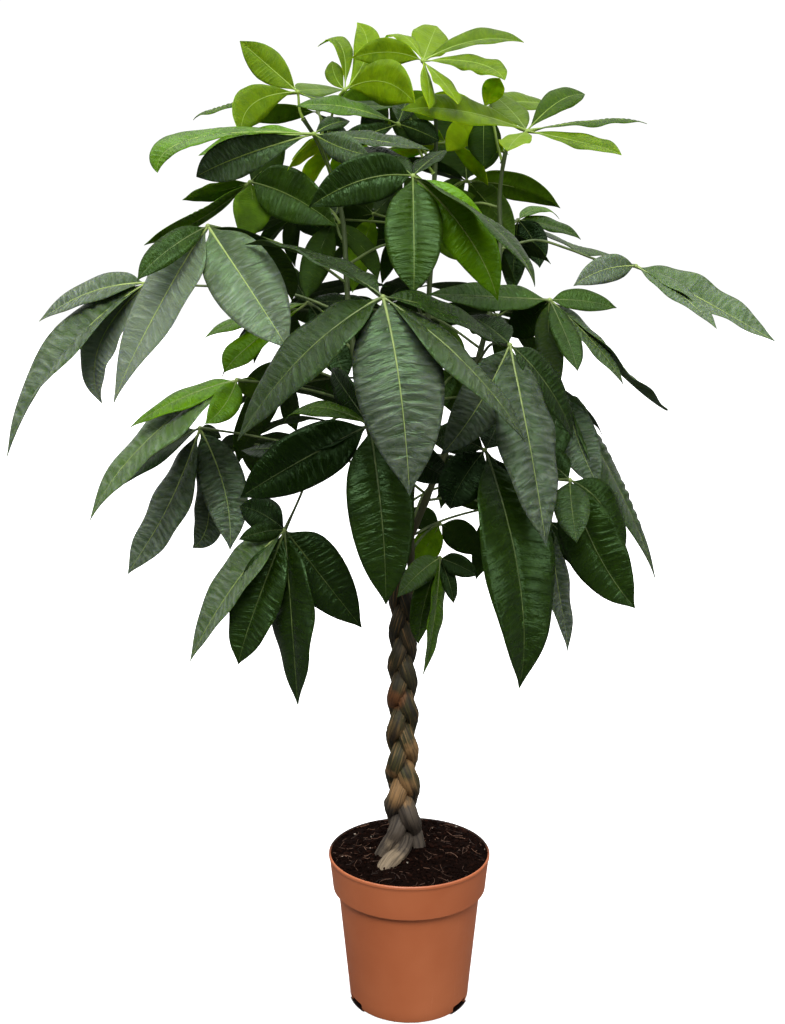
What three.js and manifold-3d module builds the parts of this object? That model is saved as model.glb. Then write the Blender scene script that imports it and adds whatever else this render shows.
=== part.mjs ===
// A potted money tree: three woody stems plaited into one trunk, a green stem above each of them,
// palmate leaves on long stalks, potting soil and a plastic nursery pot.
// Millimetres, +Z up, the front towards -Y. The origin is the centre of the pot's foot.
import * as THREE from "three";
import { mergeVertices } from "three/addons/utils/BufferGeometryUtils.js";
import Module from "manifold-3d";

const wasm = await Module();
wasm.setup();

// Driving dimensions
const POT_HEIGHT = 198;
const POT_RIM_RADIUS = 105;
const POT_FOOT_RADIUS = 78;
const POT_WALL = 2.6;
const BAND_HEIGHT = 46;
const BAND_STEP = 7;
const FOOT_RING_HEIGHT = 7.5;
const FOOT_RING_WIDTH = 9;
const FLOOR_DISC_RADIUS = 32;
const DRAIN_SLOT = { width: 30, height: 8.2, firstTurn: 87, count: 3 };
const DRAIN_HOLE = { radius: 6, ring: 50, count: 6 };
const SOIL_BELOW_RIM = 3;
const SOIL_MOUND = 7;
const TRUNK = new THREE.Vector2(-9, -4);
const PLAIT_TOP = 566;
const PLAIT_PITCH = { foot: 156, top: 124 };
const PLAIT_BULGE_HEIGHT = 334;
const STRAND_FOOT_DIAMETER = 18.2;
const STRAND_TOP_DIAMETER = 12.4;
const PLAIT_SWING = { sideways: 0.93, inwards: 0.84 };
const PLAIT_FOOT = 222;
const PLAIT_STEPS = 29;
const FEET = [
  [
    [-38, -62, 128],
    [-38, -61, 162],
    [-37, -59, 182],
    [-33, -54, 192],
    [-27, -47, 199],
    [-18, -37, 205],
    [-9.5, -26, 210.5],
    [-6, -15, 216],
  ],
  [
    [-37, -20, 128],
    [-37, -20, 165],
    [-36, -19, 185],
    [-34, -18, 198],
    [-31, -17, 207],
    [-27, -17, 215],
  ],
  [
    [11, 2, 128],
    [11, 2, 165],
    [11, 2, 185],
    [10, 3, 200],
    [8, 6, 212],
  ],
];
const STRAND_SIDES = 8;
const STEM_SIDES = 6;
const STEM_FOOT_RADIUS = 5.6;
const STEM_TIP_RADIUS = 2.8;
const STALK_SIDES = 4;
const STALK_STEPS = 4;
const STALK_RADIUS = 2.3;
const HUB_RADIUS = 6.5;
const RIB_THICKNESS = 2.4;
const BLADE_FOLD = 0.16;
const BLADE_ARCH = 0.12;
const BLADE_FULLNESS = 0.33;
const FIT_GAP = 0.3;
const LEAF_CLEARANCE = 1.2;
const LEAFLET_CLEARANCE = 0.6;
const YOUNG_HEIGHT = 1080;

// The plant is measured on a front photograph, so a place is written as the pixel where it shows
// and its depth behind (+) or before (-) the pot's centre. The eye is the camera of that photograph.
const EYE = new THREE.Vector3(-22, -1502, 895);
const EYE_PITCH = THREE.MathUtils.degToRad(9.4);
const EYE_FOCAL_PIXELS = 1220;
const PHOTO_CENTRE = [392.5, 512];

const UP = new THREE.Vector3(0, 0, 1);
const COLOURS = {
  pot: 0xb5613a,
  soil: 0x2c1d16,
  bark: 0x8a7458,
  stem: 0x5c6b35,
  leaf: 0x2f5a24,
  youngLeaf: 0x6f9c1e,
};

function seen(u, v, depth) {
  const side = (u - PHOTO_CENTRE[0]) / EYE_FOCAL_PIXELS;
  const rise = (PHOTO_CENTRE[1] - v) / EYE_FOCAL_PIXELS;
  const ray = new THREE.Vector3(
    side,
    Math.cos(EYE_PITCH) + rise * Math.sin(EYE_PITCH),
    rise * Math.cos(EYE_PITCH) - Math.sin(EYE_PITCH),
  );
  return ray.multiplyScalar((depth - EYE.y) / ray.y).add(EYE);
}

// A repeatable draw between -1 and 1, so that the plant grows the same way each time.
let drawState = 20240611;
function draw() {
  drawState = (Math.imul(drawState, 1664525) + 1013904223) >>> 0;
  return drawState / 2147483648 - 1;
}

// A closed skin over rings of points. A ring turns anticlockwise seen against the way the skin runs,
// and a ring of one point is a tip.
function skin(rings) {
  const positions = [];
  const faces = [];
  const starts = [];
  for (const ring of rings) {
    starts.push(positions.length / 3);
    ring.forEach((p) => positions.push(p.x, p.y, p.z));
  }
  for (let i = 0; i + 1 < rings.length; i++) {
    const here = rings[i].length;
    const next = rings[i + 1].length;
    const count = Math.max(here, next);
    for (let j = 0; j < count; j++) {
      const k = (j + 1) % count;
      const at = (ring, size, n) => starts[ring] + (size > 1 ? n : 0);
      if (here > 1) faces.push(at(i, here, j), at(i, here, k), at(i + 1, next, k));
      if (next > 1) faces.push(at(i, here, j), at(i + 1, next, k), at(i + 1, next, j));
    }
  }
  const last = rings.length - 1;
  for (let j = 1; j + 1 < rings[0].length; j++) faces.push(starts[0], starts[0] + j + 1, starts[0] + j);
  for (let j = 1; j + 1 < rings[last].length; j++) {
    faces.push(starts[last], starts[last] + j, starts[last] + j + 1);
  }
  return new THREE.BufferGeometry()
    .setAttribute("position", new THREE.Float32BufferAttribute(positions, 3))
    .setIndex(faces);
}

function solidOf(geometry) {
  const bare = geometry.clone();
  bare.deleteAttribute("normal");
  bare.deleteAttribute("uv");
  const merged = mergeVertices(bare, 1e-3);
  return new wasm.Manifold(
    new wasm.Mesh({
      numProp: 3,
      vertProperties: merged.attributes.position.array,
      triVerts: new Uint32Array(merged.index.array),
    }),
  );
}

function geometryOf(solid) {
  const mesh = solid.getMesh();
  const positions = new Float32Array(mesh.numVert * 3);
  for (let i = 0; i < mesh.numVert; i++) {
    positions.set(mesh.vertProperties.subarray(i * mesh.numProp, i * mesh.numProp + 3), i * 3);
  }
  return new THREE.BufferGeometry()
    .setAttribute("position", new THREE.BufferAttribute(positions, 3))
    .setIndex(new THREE.BufferAttribute(mesh.triVerts, 1));
}

const tree = new THREE.Group();
function add(name, geometry, colour, roughness) {
  const material = new THREE.MeshStandardMaterial({ color: colour, roughness, metalness: 0 });
  const mesh = new THREE.Mesh(geometry, material);
  mesh.name = name;
  tree.add(mesh);
}

// Rings square to a path, with a frame carried along it so that the skin does not twist.
function rods(points, radii, sides) {
  const rings = [];
  let side = null;
  points.forEach((p, i) => {
    const before = points[Math.max(i - 1, 0)];
    const after = points[Math.min(i + 1, points.length - 1)];
    const along = after.clone().sub(before).normalize();
    if (!side) {
      side = Math.abs(along.z) > 0.9 ? new THREE.Vector3(1, 0, 0) : UP.clone();
    }
    side.addScaledVector(along, -side.dot(along)).normalize();
    const other = along.clone().cross(side);
    rings.push(
      Array.from({ length: sides }, (_, j) => {
        const turn = (j / sides) * 2 * Math.PI;
        return p
          .clone()
          .addScaledVector(side, radii[i] * Math.cos(turn))
          .addScaledVector(other, radii[i] * Math.sin(turn));
      }),
    );
  });
  return skin(rings);
}

// Pot: a turned plastic shell with a deep rim band, drain slots at the foot and holes in the floor
const bandBottom = POT_HEIGHT - BAND_HEIGHT;
const bodyTopRadius = POT_RIM_RADIUS - 5.5 - BAND_STEP;
const outerProfile = [
  [POT_FOOT_RADIUS - 2, 0],
  [POT_FOOT_RADIUS, 2],
  [bodyTopRadius, bandBottom - 5],
  [bodyTopRadius + 2.5, bandBottom],
  [POT_RIM_RADIUS - 5.5, bandBottom + 5],
  [POT_RIM_RADIUS - 1, POT_HEIGHT - 5],
  [POT_RIM_RADIUS, POT_HEIGHT - 3],
  [POT_RIM_RADIUS, POT_HEIGHT],
];
const innerProfile = [
  [POT_RIM_RADIUS - POT_WALL, POT_HEIGHT],
  [POT_RIM_RADIUS - 5.5 - POT_WALL, bandBottom + 4],
  [bodyTopRadius - POT_WALL, bandBottom - 3],
  [POT_FOOT_RADIUS - POT_WALL + 0.6, FOOT_RING_HEIGHT + POT_WALL],
  [FLOOR_DISC_RADIUS, FOOT_RING_HEIGHT + POT_WALL],
  [FLOOR_DISC_RADIUS - 3, POT_WALL],
  [0, POT_WALL],
];
function turned(profile, segments) {
  return new THREE.LatheGeometry(
    profile.map(([r, z]) => new THREE.Vector2(r, z)),
    segments,
  ).rotateX(Math.PI / 2);
}
function pot() {
  const underside = [
    [0, 0],
    [FLOOR_DISC_RADIUS, 0],
    [FLOOR_DISC_RADIUS + 3, FOOT_RING_HEIGHT],
    [POT_FOOT_RADIUS - FOOT_RING_WIDTH - 4, FOOT_RING_HEIGHT],
    [POT_FOOT_RADIUS - FOOT_RING_WIDTH - 1, 0],
  ];
  let shell = solidOf(turned([...underside, ...outerProfile, ...innerProfile], 48));
  for (let i = 0; i < DRAIN_SLOT.count; i++) {
    const turn = THREE.MathUtils.degToRad(DRAIN_SLOT.firstTurn + (i * 360) / DRAIN_SLOT.count);
    const slot = new THREE.BoxGeometry(24, DRAIN_SLOT.width, DRAIN_SLOT.height * 2)
      .translate(POT_FOOT_RADIUS - 2, 0, 0)
      .rotateZ(turn);
    shell = shell.subtract(solidOf(slot));
  }
  for (let i = 0; i < DRAIN_HOLE.count; i++) {
    const turn = ((i + 0.5) / DRAIN_HOLE.count) * 2 * Math.PI;
    const hole = new THREE.CylinderGeometry(DRAIN_HOLE.radius, DRAIN_HOLE.radius, 30, 12)
      .rotateX(Math.PI / 2)
      .translate(DRAIN_HOLE.ring * Math.cos(turn), DRAIN_HOLE.ring * Math.sin(turn), FOOT_RING_HEIGHT);
    shell = shell.subtract(solidOf(hole));
  }
  return geometryOf(shell);
}
add("pot", pot(), COLOURS.pot, 0.55);

// Plait: each strand swings from side to side once a pitch and in and out twice, a third behind the next.
// The turns get shorter as the strands get thinner. The swings are shares of a strand's diameter.
// Below it each foot goes its own way into the soil, by its own points, one of them across the front.
function plaitTurn(z) {
  const rise = PLAIT_TOP - POT_HEIGHT;
  const pitch = (height) =>
    THREE.MathUtils.mapLinear(height, POT_HEIGHT, PLAIT_TOP, PLAIT_PITCH.foot, PLAIT_PITCH.top);
  const change = (PLAIT_PITCH.top - PLAIT_PITCH.foot) / rise;
  return 0.25 + Math.log(pitch(z) / pitch(PLAIT_BULGE_HEIGHT)) / change;
}
function strandDiameter(z) {
  const up = THREE.MathUtils.clamp((z - POT_HEIGHT) / (PLAIT_TOP - POT_HEIGHT), 0, 1);
  return THREE.MathUtils.lerp(STRAND_FOOT_DIAMETER, STRAND_TOP_DIAMETER, up);
}
function strandPoint(strand, z) {
  const turn = (plaitTurn(z) + strand / 3) * 2 * Math.PI;
  const size = strandDiameter(z);
  return new THREE.Vector3(
    TRUNK.x + PLAIT_SWING.sideways * size * Math.sin(turn),
    TRUNK.y + PLAIT_SWING.inwards * size * Math.sin(2 * turn),
    z,
  );
}
function strandPath(strand) {
  const foot = FEET[strand].map((point) => new THREE.Vector3(...point));
  const plait = Array.from({ length: PLAIT_STEPS + 1 }, (_, i) => {
    const z = THREE.MathUtils.lerp(PLAIT_FOOT, PLAIT_TOP, i / PLAIT_STEPS);
    return strandPoint(strand, Math.min(z, PLAIT_TOP - 18)).setZ(z);
  });
  return [...foot, ...plait];
}
function strandRadii(path, grow) {
  return path.map((p) => {
    const flare = 1 + 0.14 * THREE.MathUtils.clamp((POT_HEIGHT + 30 - p.z) / 40, 0, 1);
    return (strandDiameter(p.z) / 2) * flare + grow;
  });
}
const strands = [0, 1, 2].map((s) => {
  const path = strandPath(s);
  const solid = solidOf(rods(path, strandRadii(path, 0), STRAND_SIDES));
  const sleeve = solidOf(rods(path, strandRadii(path, FIT_GAP + 0.15), STRAND_SIDES));
  return { path, solid, sleeve };
});
strands.forEach(({ solid }, s) => add(`trunk_strand_${s + 1}`, geometryOf(solid), COLOURS.bark, 0.85));

// Soil: fills the pot to the rim, crumbly on top, with a plain hole for the foot of each strand
function soil() {
  const sectors = 28;
  const rim = POT_RIM_RADIUS - POT_WALL - FIT_GAP - 0.6;
  const wall = innerProfile
    .slice(1, -1)
    .reverse()
    .map(([r, z]) => [r - FIT_GAP - 0.5, z + FIT_GAP, 0]);
  const top = [1, 0.84, 0.64, 0.42, 0.2].map((share, i) => {
    const mound = SOIL_MOUND * (1 - share * share);
    return [rim * share, POT_HEIGHT - SOIL_BELOW_RIM + mound, i === 0 ? 0.8 : 2.6];
  });
  const rings = [...wall, ...top].map(([r, z, crumb]) =>
    Array.from({ length: sectors }, (_, j) => {
      const turn = (j / sectors) * 2 * Math.PI;
      return new THREE.Vector3(r * Math.cos(turn), r * Math.sin(turn), z + crumb * draw());
    }),
  );
  rings.push([new THREE.Vector3(0, 0, POT_HEIGHT - SOIL_BELOW_RIM + SOIL_MOUND)]);
  let body = solidOf(skin(rings));
  for (const { sleeve } of strands) body = body.subtract(sleeve);
  return geometryOf(body);
}
add("soil", soil(), COLOURS.soil, 0.95);

// Green stems: each goes on from the top of a strand, by the points where it shows between the leaves
const STEM_POINTS = [
  [
    [388, 500, -8],
    [362, 400, -6],
    [348, 300, 0],
    [342, 215, 8],
    [322, 150, 0],
    [303, 118, -8],
  ],
  [
    [412, 480, 6],
    [424, 380, 20],
    [430, 280, 24],
    [434, 190, 16],
    [436, 120, 8],
    [430, 84, 2],
  ],
  [
    [430, 490, -14],
    [462, 410, -10],
    [486, 330, 10],
    [500, 250, 26],
    [500, 190, 34],
    [506, 150, 26],
  ],
];
const STEM_STEPS = 18;
const stems = STEM_POINTS.map((points, s) => {
  const foot = strands[s].path.at(-1).clone();
  foot.z += FIT_GAP;
  const curve = new THREE.CatmullRomCurve3([
    foot,
    foot.clone().add(new THREE.Vector3(0, 0, 16)),
    ...points.map((p) => seen(...p)),
  ]);
  const path = curve.getSpacedPoints(STEM_STEPS);
  const radii = path.map((_, i) => THREE.MathUtils.lerp(STEM_FOOT_RADIUS, STEM_TIP_RADIUS, i / STEM_STEPS));
  path[1].setX(foot.x).setY(foot.y);
  return { path, radii, solid: solidOf(rods(path, radii, STEM_SIDES)) };
});
stems.forEach(({ solid }, s) => add(`green_stem_${s + 1}`, geometryOf(solid), COLOURS.stem, 0.6));

// Leaves: the stem that carries the stalk, the height where it leaves the stem (none at the stem's tip),
// the hub where the leaflets meet, and how far the leaf leans outwards (0 level, 1 upright).
// Some hang so that their upper sides are seen though the leaf leans away.
// Each leaflet is the pixel of its tip, the tip's depth beyond the hub, the width that the blade shows,
// in pixels, and the pixel of its middle.
const STEM_TIP = "tip";
const LEAVES = [
  { stem: 1, from: 868, hub: [383, 297, -235], lean: 0.62, tips: [
    [410, 496, -45, 88, 401, 388], [237, 441, 25, 46, 305, 354], [526, 442, -5, 26, 468, 366],
    [246, 239, 120, 12, 322, 262], [506, 350, 90, 18, 447, 314]] },
  { stem: 1, from: 985, hub: [413, 176, -135], lean: 0.5, tips: [
    [414, 294, -45, 56, 414, 240], [499, 302, 5, 48, 466, 234], [308, 208, 0, 46, 362, 180],
    [358, 146, 60, 20, 388, 158], [446, 150, 80, 14, 430, 160],
    [540, 284, -50, 9, 490, 224]] },
  { stem: 1, from: 1010, hub: [467, 181, 130], lean: 0.75, tips: [
    [467, 98, 20, 72, 465, 136], [562, 207, 10, 26, 516, 187], [516, 239, -25, 33, 492, 208],
    [430, 216, -20, 24, 446, 196], [398, 160, 10, 14, 432, 168]] },
  { stem: 2, from: STEM_TIP, hub: [527, 131, 14], lean: 0.12, upperSide: true, tips: [
    [648, 120, 10, 4, 592, 121], [622, 153, -60, 14, 580, 142], [585, 95, 60, 24, 559, 102],
    [490, 92, 90, 24, 512, 112], [402, 108, -50, 24, 466, 112], [508, 148, -110, 20, 516, 139]] },
  { stem: 1, from: STEM_TIP, hub: [423, 61, -4], lean: 0.1, upperSide: true, tips: [
    [524, 43, 10, 15, 477, 40], [505, 80, -60, 16, 476, 63], [438, 24, 90, 40, 430, 43],
    [384, 37, 60, 9, 405, 37], [352, 58, -30, 26, 390, 52], [430, 108, -60, 12, 429, 85],
    [458, 104, -60, 12, 445, 84]] },
  { stem: 0, from: 1085, hub: [345, 90, -30], lean: 0.3, tips: [
    [357, 21, 60, 26, 367, 52], [318, 47, 40, 15, 341, 45], [332, 60, 30, 18, 335, 76],
    [414, 103, -70, 42, 382, 82]] },
  { stem: 1, from: 1060, hub: [398, 124, -30], lean: 0.4, tips: [
    [296, 106, 20, 16, 345, 107], [340, 138, -10, 20, 368, 133], [440, 141, 30, 24, 420, 131],
    [408, 97, 60, 22, 403, 110]] },
  { stem: 0, from: STEM_TIP, hub: [298, 92, -14], lean: 0.15, upperSide: true, tips: [
    [240, 41, 60, 32, 271, 68], [242, 134, -60, 34, 255, 103], [400, 106, -30, 11, 338, 103],
    [192, 118, -5, 4, 228, 106], [344, 90, 80, 14, 310, 90]] },
  { stem: 0, from: 1050, hub: [314, 134, -90], lean: 0.35, tips: [
    [196, 177, -10, 38, 240, 156], [199, 156, 40, 18, 252, 140], [369, 155, -50, 27, 340, 147],
    [156, 172, 60, 13, 197, 138], [350, 121, 50, 14, 332, 124], [430, 150, 30, 13, 372, 140]] },
  { stem: 0, from: 1000, hub: [250, 182, 80], lean: 0.75, swing: -50, tips: [
    [182, 199, 10, 17, 216, 192], [143, 243, -20, 14, 195, 222], [240, 238, -40, 38, 252, 212],
    [336, 226, -30, 50, 294, 197], [286, 148, 30, 26, 268, 165]] },
  { stem: 0, from: 930, hub: [208, 226, -90], lean: 0.5, tips: [
    [289, 350, -60, 68, 249, 288], [110, 403, 20, 46, 163, 300], [137, 280, -40, 26, 166, 251],
    [292, 302, 80, 24, 270, 258]] },
  { stem: 0, from: 890, hub: [147, 283, 20], lean: 0.45, upperSide: true, tips: [
    [5, 457, 10, 26, 63, 355], [40, 322, 60, 22, 89, 293], [101, 405, -50, 33, 100, 345],
    [166, 240, 60, 20, 162, 258]] },
  { stem: 0, from: 780, hub: [237, 380, -60], lean: 0.5, tips: [
    [85, 519, -10, 31, 155, 433], [130, 428, 40, 18, 180, 399], [205, 424, -60, 28, 224, 406],
    [264, 402, 60, 20, 252, 388]] },
  { stem: 0, from: 700, hub: [200, 428, 40], lean: 0.6, upperSide: true, tips: [
    [106, 492, 20, 23, 150, 457], [125, 573, -15, 37, 165, 513], [230, 550, -40, 46, 224, 489],
    [192, 548, 15, 33, 209, 510], [222, 438, 40, 12, 212, 432]] },
  { stem: 0, from: 770, hub: [285, 530, -70], lean: 0.65, fromAbove: true, tips: [
    [298, 706, -30, 41, 292, 620], [363, 629, 10, 59, 320, 574], [238, 665, -10, 48, 256, 609],
    [189, 662, 35, 34, 233, 586], [239, 506, 60, 36, 262, 514],
    [238, 540, 0, 20, 262, 532]] },
  { stem: 1, from: 690, hub: [370, 425, -120], lean: 0.65, tips: [
    [240, 498, 0, 58, 299, 462], [386, 607, -40, 66, 381, 516], [240, 448, 50, 20, 296, 445],
    [452, 480, 40, 40, 415, 460], [283, 421, 60, 15, 318, 407], [330, 368, 70, 26, 346, 392]] },
  { stem: 2, from: 830, hub: [510, 345, -160], lean: 0.6, tips: [
    [546, 547, -40, 56, 528, 440], [442, 455, 10, 48, 480, 402], [576, 440, 50, 28, 548, 386],
    [470, 316, 90, 30, 488, 326]] },
  { stem: 2, from: 880, hub: [550, 300, -60], lean: 0.3, tips: [
    [617, 308, 10, 21, 584, 301], [428, 293, -20, 26, 486, 296], [625, 384, -10, 16, 592, 341],
    [578, 371, -60, 24, 568, 340], [668, 411, 40, 4, 624, 377], [506, 336, 40, 36, 528, 320],
    [561, 386, 20, 28, 550, 346]] },
  { stem: 2, from: 970, hub: [636, 266, 20], lean: 0.3, upperSide: true, tips: [
    [574, 286, -40, 27, 604, 270], [775, 342, 0, 25, 706, 302], [717, 329, -60, 16, 682, 296]] },
  { stem: 2, from: 800, hub: [565, 395, 20], lean: 0.55, upperSide: true, tips: [
    [659, 581, 10, 20, 615, 481], [600, 488, -40, 40, 580, 444], [548, 476, -50, 36, 552, 436],
    [592, 434, 50, 16, 580, 414]] },
  { stem: 2, from: 730, hub: [485, 450, -150], lean: 0.65, tips: [
    [523, 692, -40, 69, 517, 570], [450, 510, 0, 46, 462, 482], [545, 548, 50, 40, 522, 500],
    [430, 440, 70, 34, 456, 438],
    [502, 408, 60, 28, 495, 430]] },
  { stem: 2, from: 665, hub: [548, 520, 60], lean: 0.6, upperSide: true, tips: [
    [571, 651, -20, 24, 559, 591], [596, 582, 20, 30, 576, 550], [528, 566, -20, 34, 536, 544],
    [505, 500, 50, 36, 526, 506]] },
  { stem: 2, from: 700, hub: [570, 480, -50], lean: 0.6, tips: [
    [636, 609, -10, 60, 597, 553], [617, 576, 40, 33, 608, 516], [577, 543, -60, 36, 572, 510],
    [530, 450, 50, 34, 550, 462]] },
  { stem: 2, from: 556, hub: [440, 558, -50], lean: 0.5, tips: [
    [397, 598, -20, 26, 420, 573], [423, 676, -30, 14, 434, 620], [419, 645, 15, 26, 424, 606],
    [454, 604, 0, 16, 449, 582], [478, 576, 10, 22, 460, 566]] },
  { stem: 1, from: 600, hub: [440, 524, 50], lean: 0.5, tips: [
    [479, 556, 20, 32, 463, 538], [410, 578, -10, 30, 424, 552], [402, 520, 10, 24, 420, 518]] },
  { stem: 2, from: 960, hub: [518, 220, 160], lean: 0.5, upperSide: true, tips: [
    [512, 294, -10, 26, 514, 258], [582, 238, 10, 12, 552, 226], [561, 218, 50, 6, 540, 209], [540, 268, -30, 28, 534, 242],
    [450, 250, 0, 36, 484, 232], [620, 256, 90, 5, 572, 246]] },
  { stem: 0, from: 850, hub: [308, 303, 70], lean: 0.6, upperSide: true, tips: [
    [204, 336, 10, 13, 250, 317], [224, 371, -20, 25, 254, 341], [284, 264, 40, 18, 296, 282],
    [345, 384, -20, 42, 332, 342], [376, 304, 20, 16, 342, 301]] },
  { stem: 1, from: 960, hub: [374, 214, 100], lean: 0.6, tips: [
    [352, 293, 0, 26, 361, 254], [322, 240, 20, 26, 344, 222], [340, 184, 30, 26, 356, 196],
    [402, 178, 60, 24, 390, 196]] },
  { stem: 0, from: 980, hub: [333, 222, 30], lean: 0.5, tips: [
    [306, 300, -20, 30, 316, 262], [378, 280, 0, 20, 364, 250],
    [350, 172, 60, 30, 342, 196]] },
  { stem: 1, from: 1070, hub: [388, 96, 50], lean: 0.35, tips: [
    [338, 108, 0, 24, 362, 98], [452, 118, 10, 26, 420, 104], [364, 140, -40, 26, 376, 118],
    [420, 150, -30, 26, 404, 122], [386, 60, 60, 26, 386, 78]] },
  { stem: 0, from: 1075, hub: [318, 112, 50], lean: 0.4, tips: [
    [250, 121, 20, 18, 284, 113], [346, 160, -30, 26, 334, 136],
    [372, 104, 40, 22, 346, 104]] },
  { stem: 2, from: 1090, hub: [484, 108, 70], lean: 0.35, tips: [
    [560, 108, 10, 18, 524, 102], [416, 110, 10, 24, 450, 104], [484, 166, -30, 30, 484, 138],
    [446, 152, -20, 26, 464, 130], [500, 78, 50, 22, 492, 92]] },
  { stem: 2, from: 1020, hub: [430, 215, 70], lean: 0.5, tips: [
    [388, 252, 0, 26, 408, 232], [462, 262, -10, 30, 448, 238], [404, 176, 40, 26, 418, 196],
    [476, 196, 20, 24, 454, 202]] },
  { stem: 1, from: 760, hub: [458, 372, 95], lean: 0.5, tips: [
    [408, 420, 10, 34, 432, 394], [474, 436, -20, 34, 468, 404], [518, 392, 10, 30, 488, 378],
    [440, 322, 50, 28, 450, 346]] },
  { stem: 0, from: 800, hub: [286, 364, 40], lean: 0.5, tips: [
    [237, 463, -10, 32, 257, 416], [243, 384, 20, 22, 264, 376], [269, 407, -10, 18, 276, 387]] },
  { stem: 2, from: 620, hub: [500, 505, 90], lean: 0.5, tips: [
    [476, 580, -10, 26, 486, 544], [548, 560, 0, 30, 526, 532], [450, 500, 10, 24, 474, 498],
    [530, 470, 40, 26, 516, 486]] },
];

// Leaves behind, which the others hide: they close the crown all round. Each row is a height,
// how far the hubs stand from the trunk, the first hub's bearing, the step to the next, and their number.
// Those straight behind stand further out, which makes the crown as deep as it is wide.
const BACK_ROWS = [
  { height: 680, reach: 180, bearing: 35, step: 40, count: 2, length: 135 },
  { height: 720, reach: 240, bearing: 146, step: 0, count: 1, length: 135 },
  { height: 790, reach: 215, bearing: 44, step: 46, count: 3, length: 150 },
  { height: 900, reach: 205, bearing: 50, step: 42, count: 3, length: 140 },
  { height: 1000, reach: 165, bearing: 52, step: 44, count: 3, length: 130 },
  { height: 1090, reach: 95, bearing: 60, step: 70, count: 2, length: 115 },
];
const BACK_LEAFLETS = 5;
const BACK_LEAN = 0.45;
const BACK_DEPTH = 0.9;

// Each leaf before it is bent clear of the others: where it is fixed, its hub, the axis it opens around,
// and for each leaflet the tip and middle for a given shift, and the width that shows (none if hidden)
const leaves = [];
function leafAxis(hub, lean) {
  const outwards = new THREE.Vector3(hub.x - TRUNK.x, hub.y - TRUNK.y, 0).normalize();
  return outwards.multiplyScalar(lean).addScaledVector(UP, 1 - lean).normalize();
}
LEAVES.forEach(({ stem, from, hub, lean, upperSide, swing, fromAbove, tips }) => {
  const centre = seen(...hub);
  const axis = leafAxis(centre, lean);
  const leaflets = tips.map(([u, v, beyond, shownPixels, middleU, middleV]) => ({
    shown: (shownPixels * (hub[2] - EYE.y)) / EYE_FOCAL_PIXELS,
    shifts: [0, 12, 24, 38, 54, 72, 92, 115, 140],
    tip: (shift) => seen(u, v, hub[2] + beyond + shift),
    middle: (tip) => {
      const arch = BLADE_ARCH * tip.distanceTo(centre) * axis.y;
      return seen(middleU, middleV, (hub[2] + tip.y) / 2 + arch);
    },
  }));
  leaves.push({ stem, from, centre, axis, upperSide, swing, fromAbove, leaflets });
});
BACK_ROWS.forEach(({ height, reach, bearing, step, count, length }) => {
  for (let i = 0; i < count; i++) {
    const turn = THREE.MathUtils.degToRad(bearing + i * step + 6 * draw());
    const outwards = new THREE.Vector3(Math.cos(turn), Math.sin(turn), 0);
    const centre = new THREE.Vector3(TRUNK.x, TRUNK.y, height + 18 * draw());
    const further = 1 + BACK_DEPTH * Math.max(0, Math.sin(turn) - 0.6);
    centre.addScaledVector(outwards, reach * further * (1 + 0.12 * draw()));
    const axis = leafAxis(centre, BACK_LEAN);
    const sideways = UP.clone().cross(outwards);
    const inwards = sideways.clone().cross(axis);
    const leaflets = Array.from({ length: BACK_LEAFLETS }, (_, j) => {
      const around = (j / BACK_LEAFLETS) * 2 * Math.PI + 0.37 * draw();
      const size = length * (1 - 0.35 * (0.5 - 0.5 * Math.cos(around))) * (1 + 0.08 * draw());
      return {
        shown: 0,
        shifts: [0, 0.13, 0.26, 0.4, 0.55, 0.7, 0.9, 1.1, 1.3],
        tip: (shift) => {
          const direction = new THREE.Vector3()
            .addScaledVector(inwards, -Math.cos(around + shift))
            .addScaledVector(sideways, Math.sin(around + shift))
            .addScaledVector(UP, -0.42 - 0.22 * shift)
            .normalize();
          return centre.clone().addScaledVector(direction, size);
        },
        middle: (tip) => centre.clone().lerp(tip, 0.5).addScaledVector(axis, BLADE_ARCH * size),
      };
    });
    leaves.push({ stem: leaves.length % stems.length, from: height - 50, centre, axis, leaflets });
  }
});

// Leaflet: a blade with a thick midrib, folded a little along it, from the hub to its tip.
// Along it are the stations of its outline. Its outer part is what has to stay off its neighbours.
const STATIONS = [0.1, 0.32, 0.6, 0.87];
const WIDTHS = [0.12, 0.76, 1, 0.6];
function blade(hub, middle, tip, facing, width) {
  const bend = middle.clone().multiplyScalar(2).addScaledVector(hub, -0.5).addScaledVector(tip, -0.5);
  const curve = new THREE.QuadraticBezierCurve3(hub, bend, tip);
  const sections = STATIONS.map((t, i) => {
    const along = curve.getTangent(t);
    const above = facing.clone().addScaledVector(along, -facing.dot(along)).normalize();
    const across = above.clone().cross(along);
    const half = (width * WIDTHS[i]) / 2;
    const rib = curve.getPoint(t);
    const raised = rib.clone().addScaledVector(above, half * BLADE_FOLD);
    return [
      raised.clone().addScaledVector(across, half),
      rib.clone().addScaledVector(above, RIB_THICKNESS / 2),
      raised.clone().addScaledVector(across, -half),
      rib.clone().addScaledVector(above, -RIB_THICKNESS / 2),
    ];
  });
  return { solid: solidOf(skin([[hub], ...sections, [tip]])), outer: solidOf(skin([...sections, [tip]])) };
}

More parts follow.
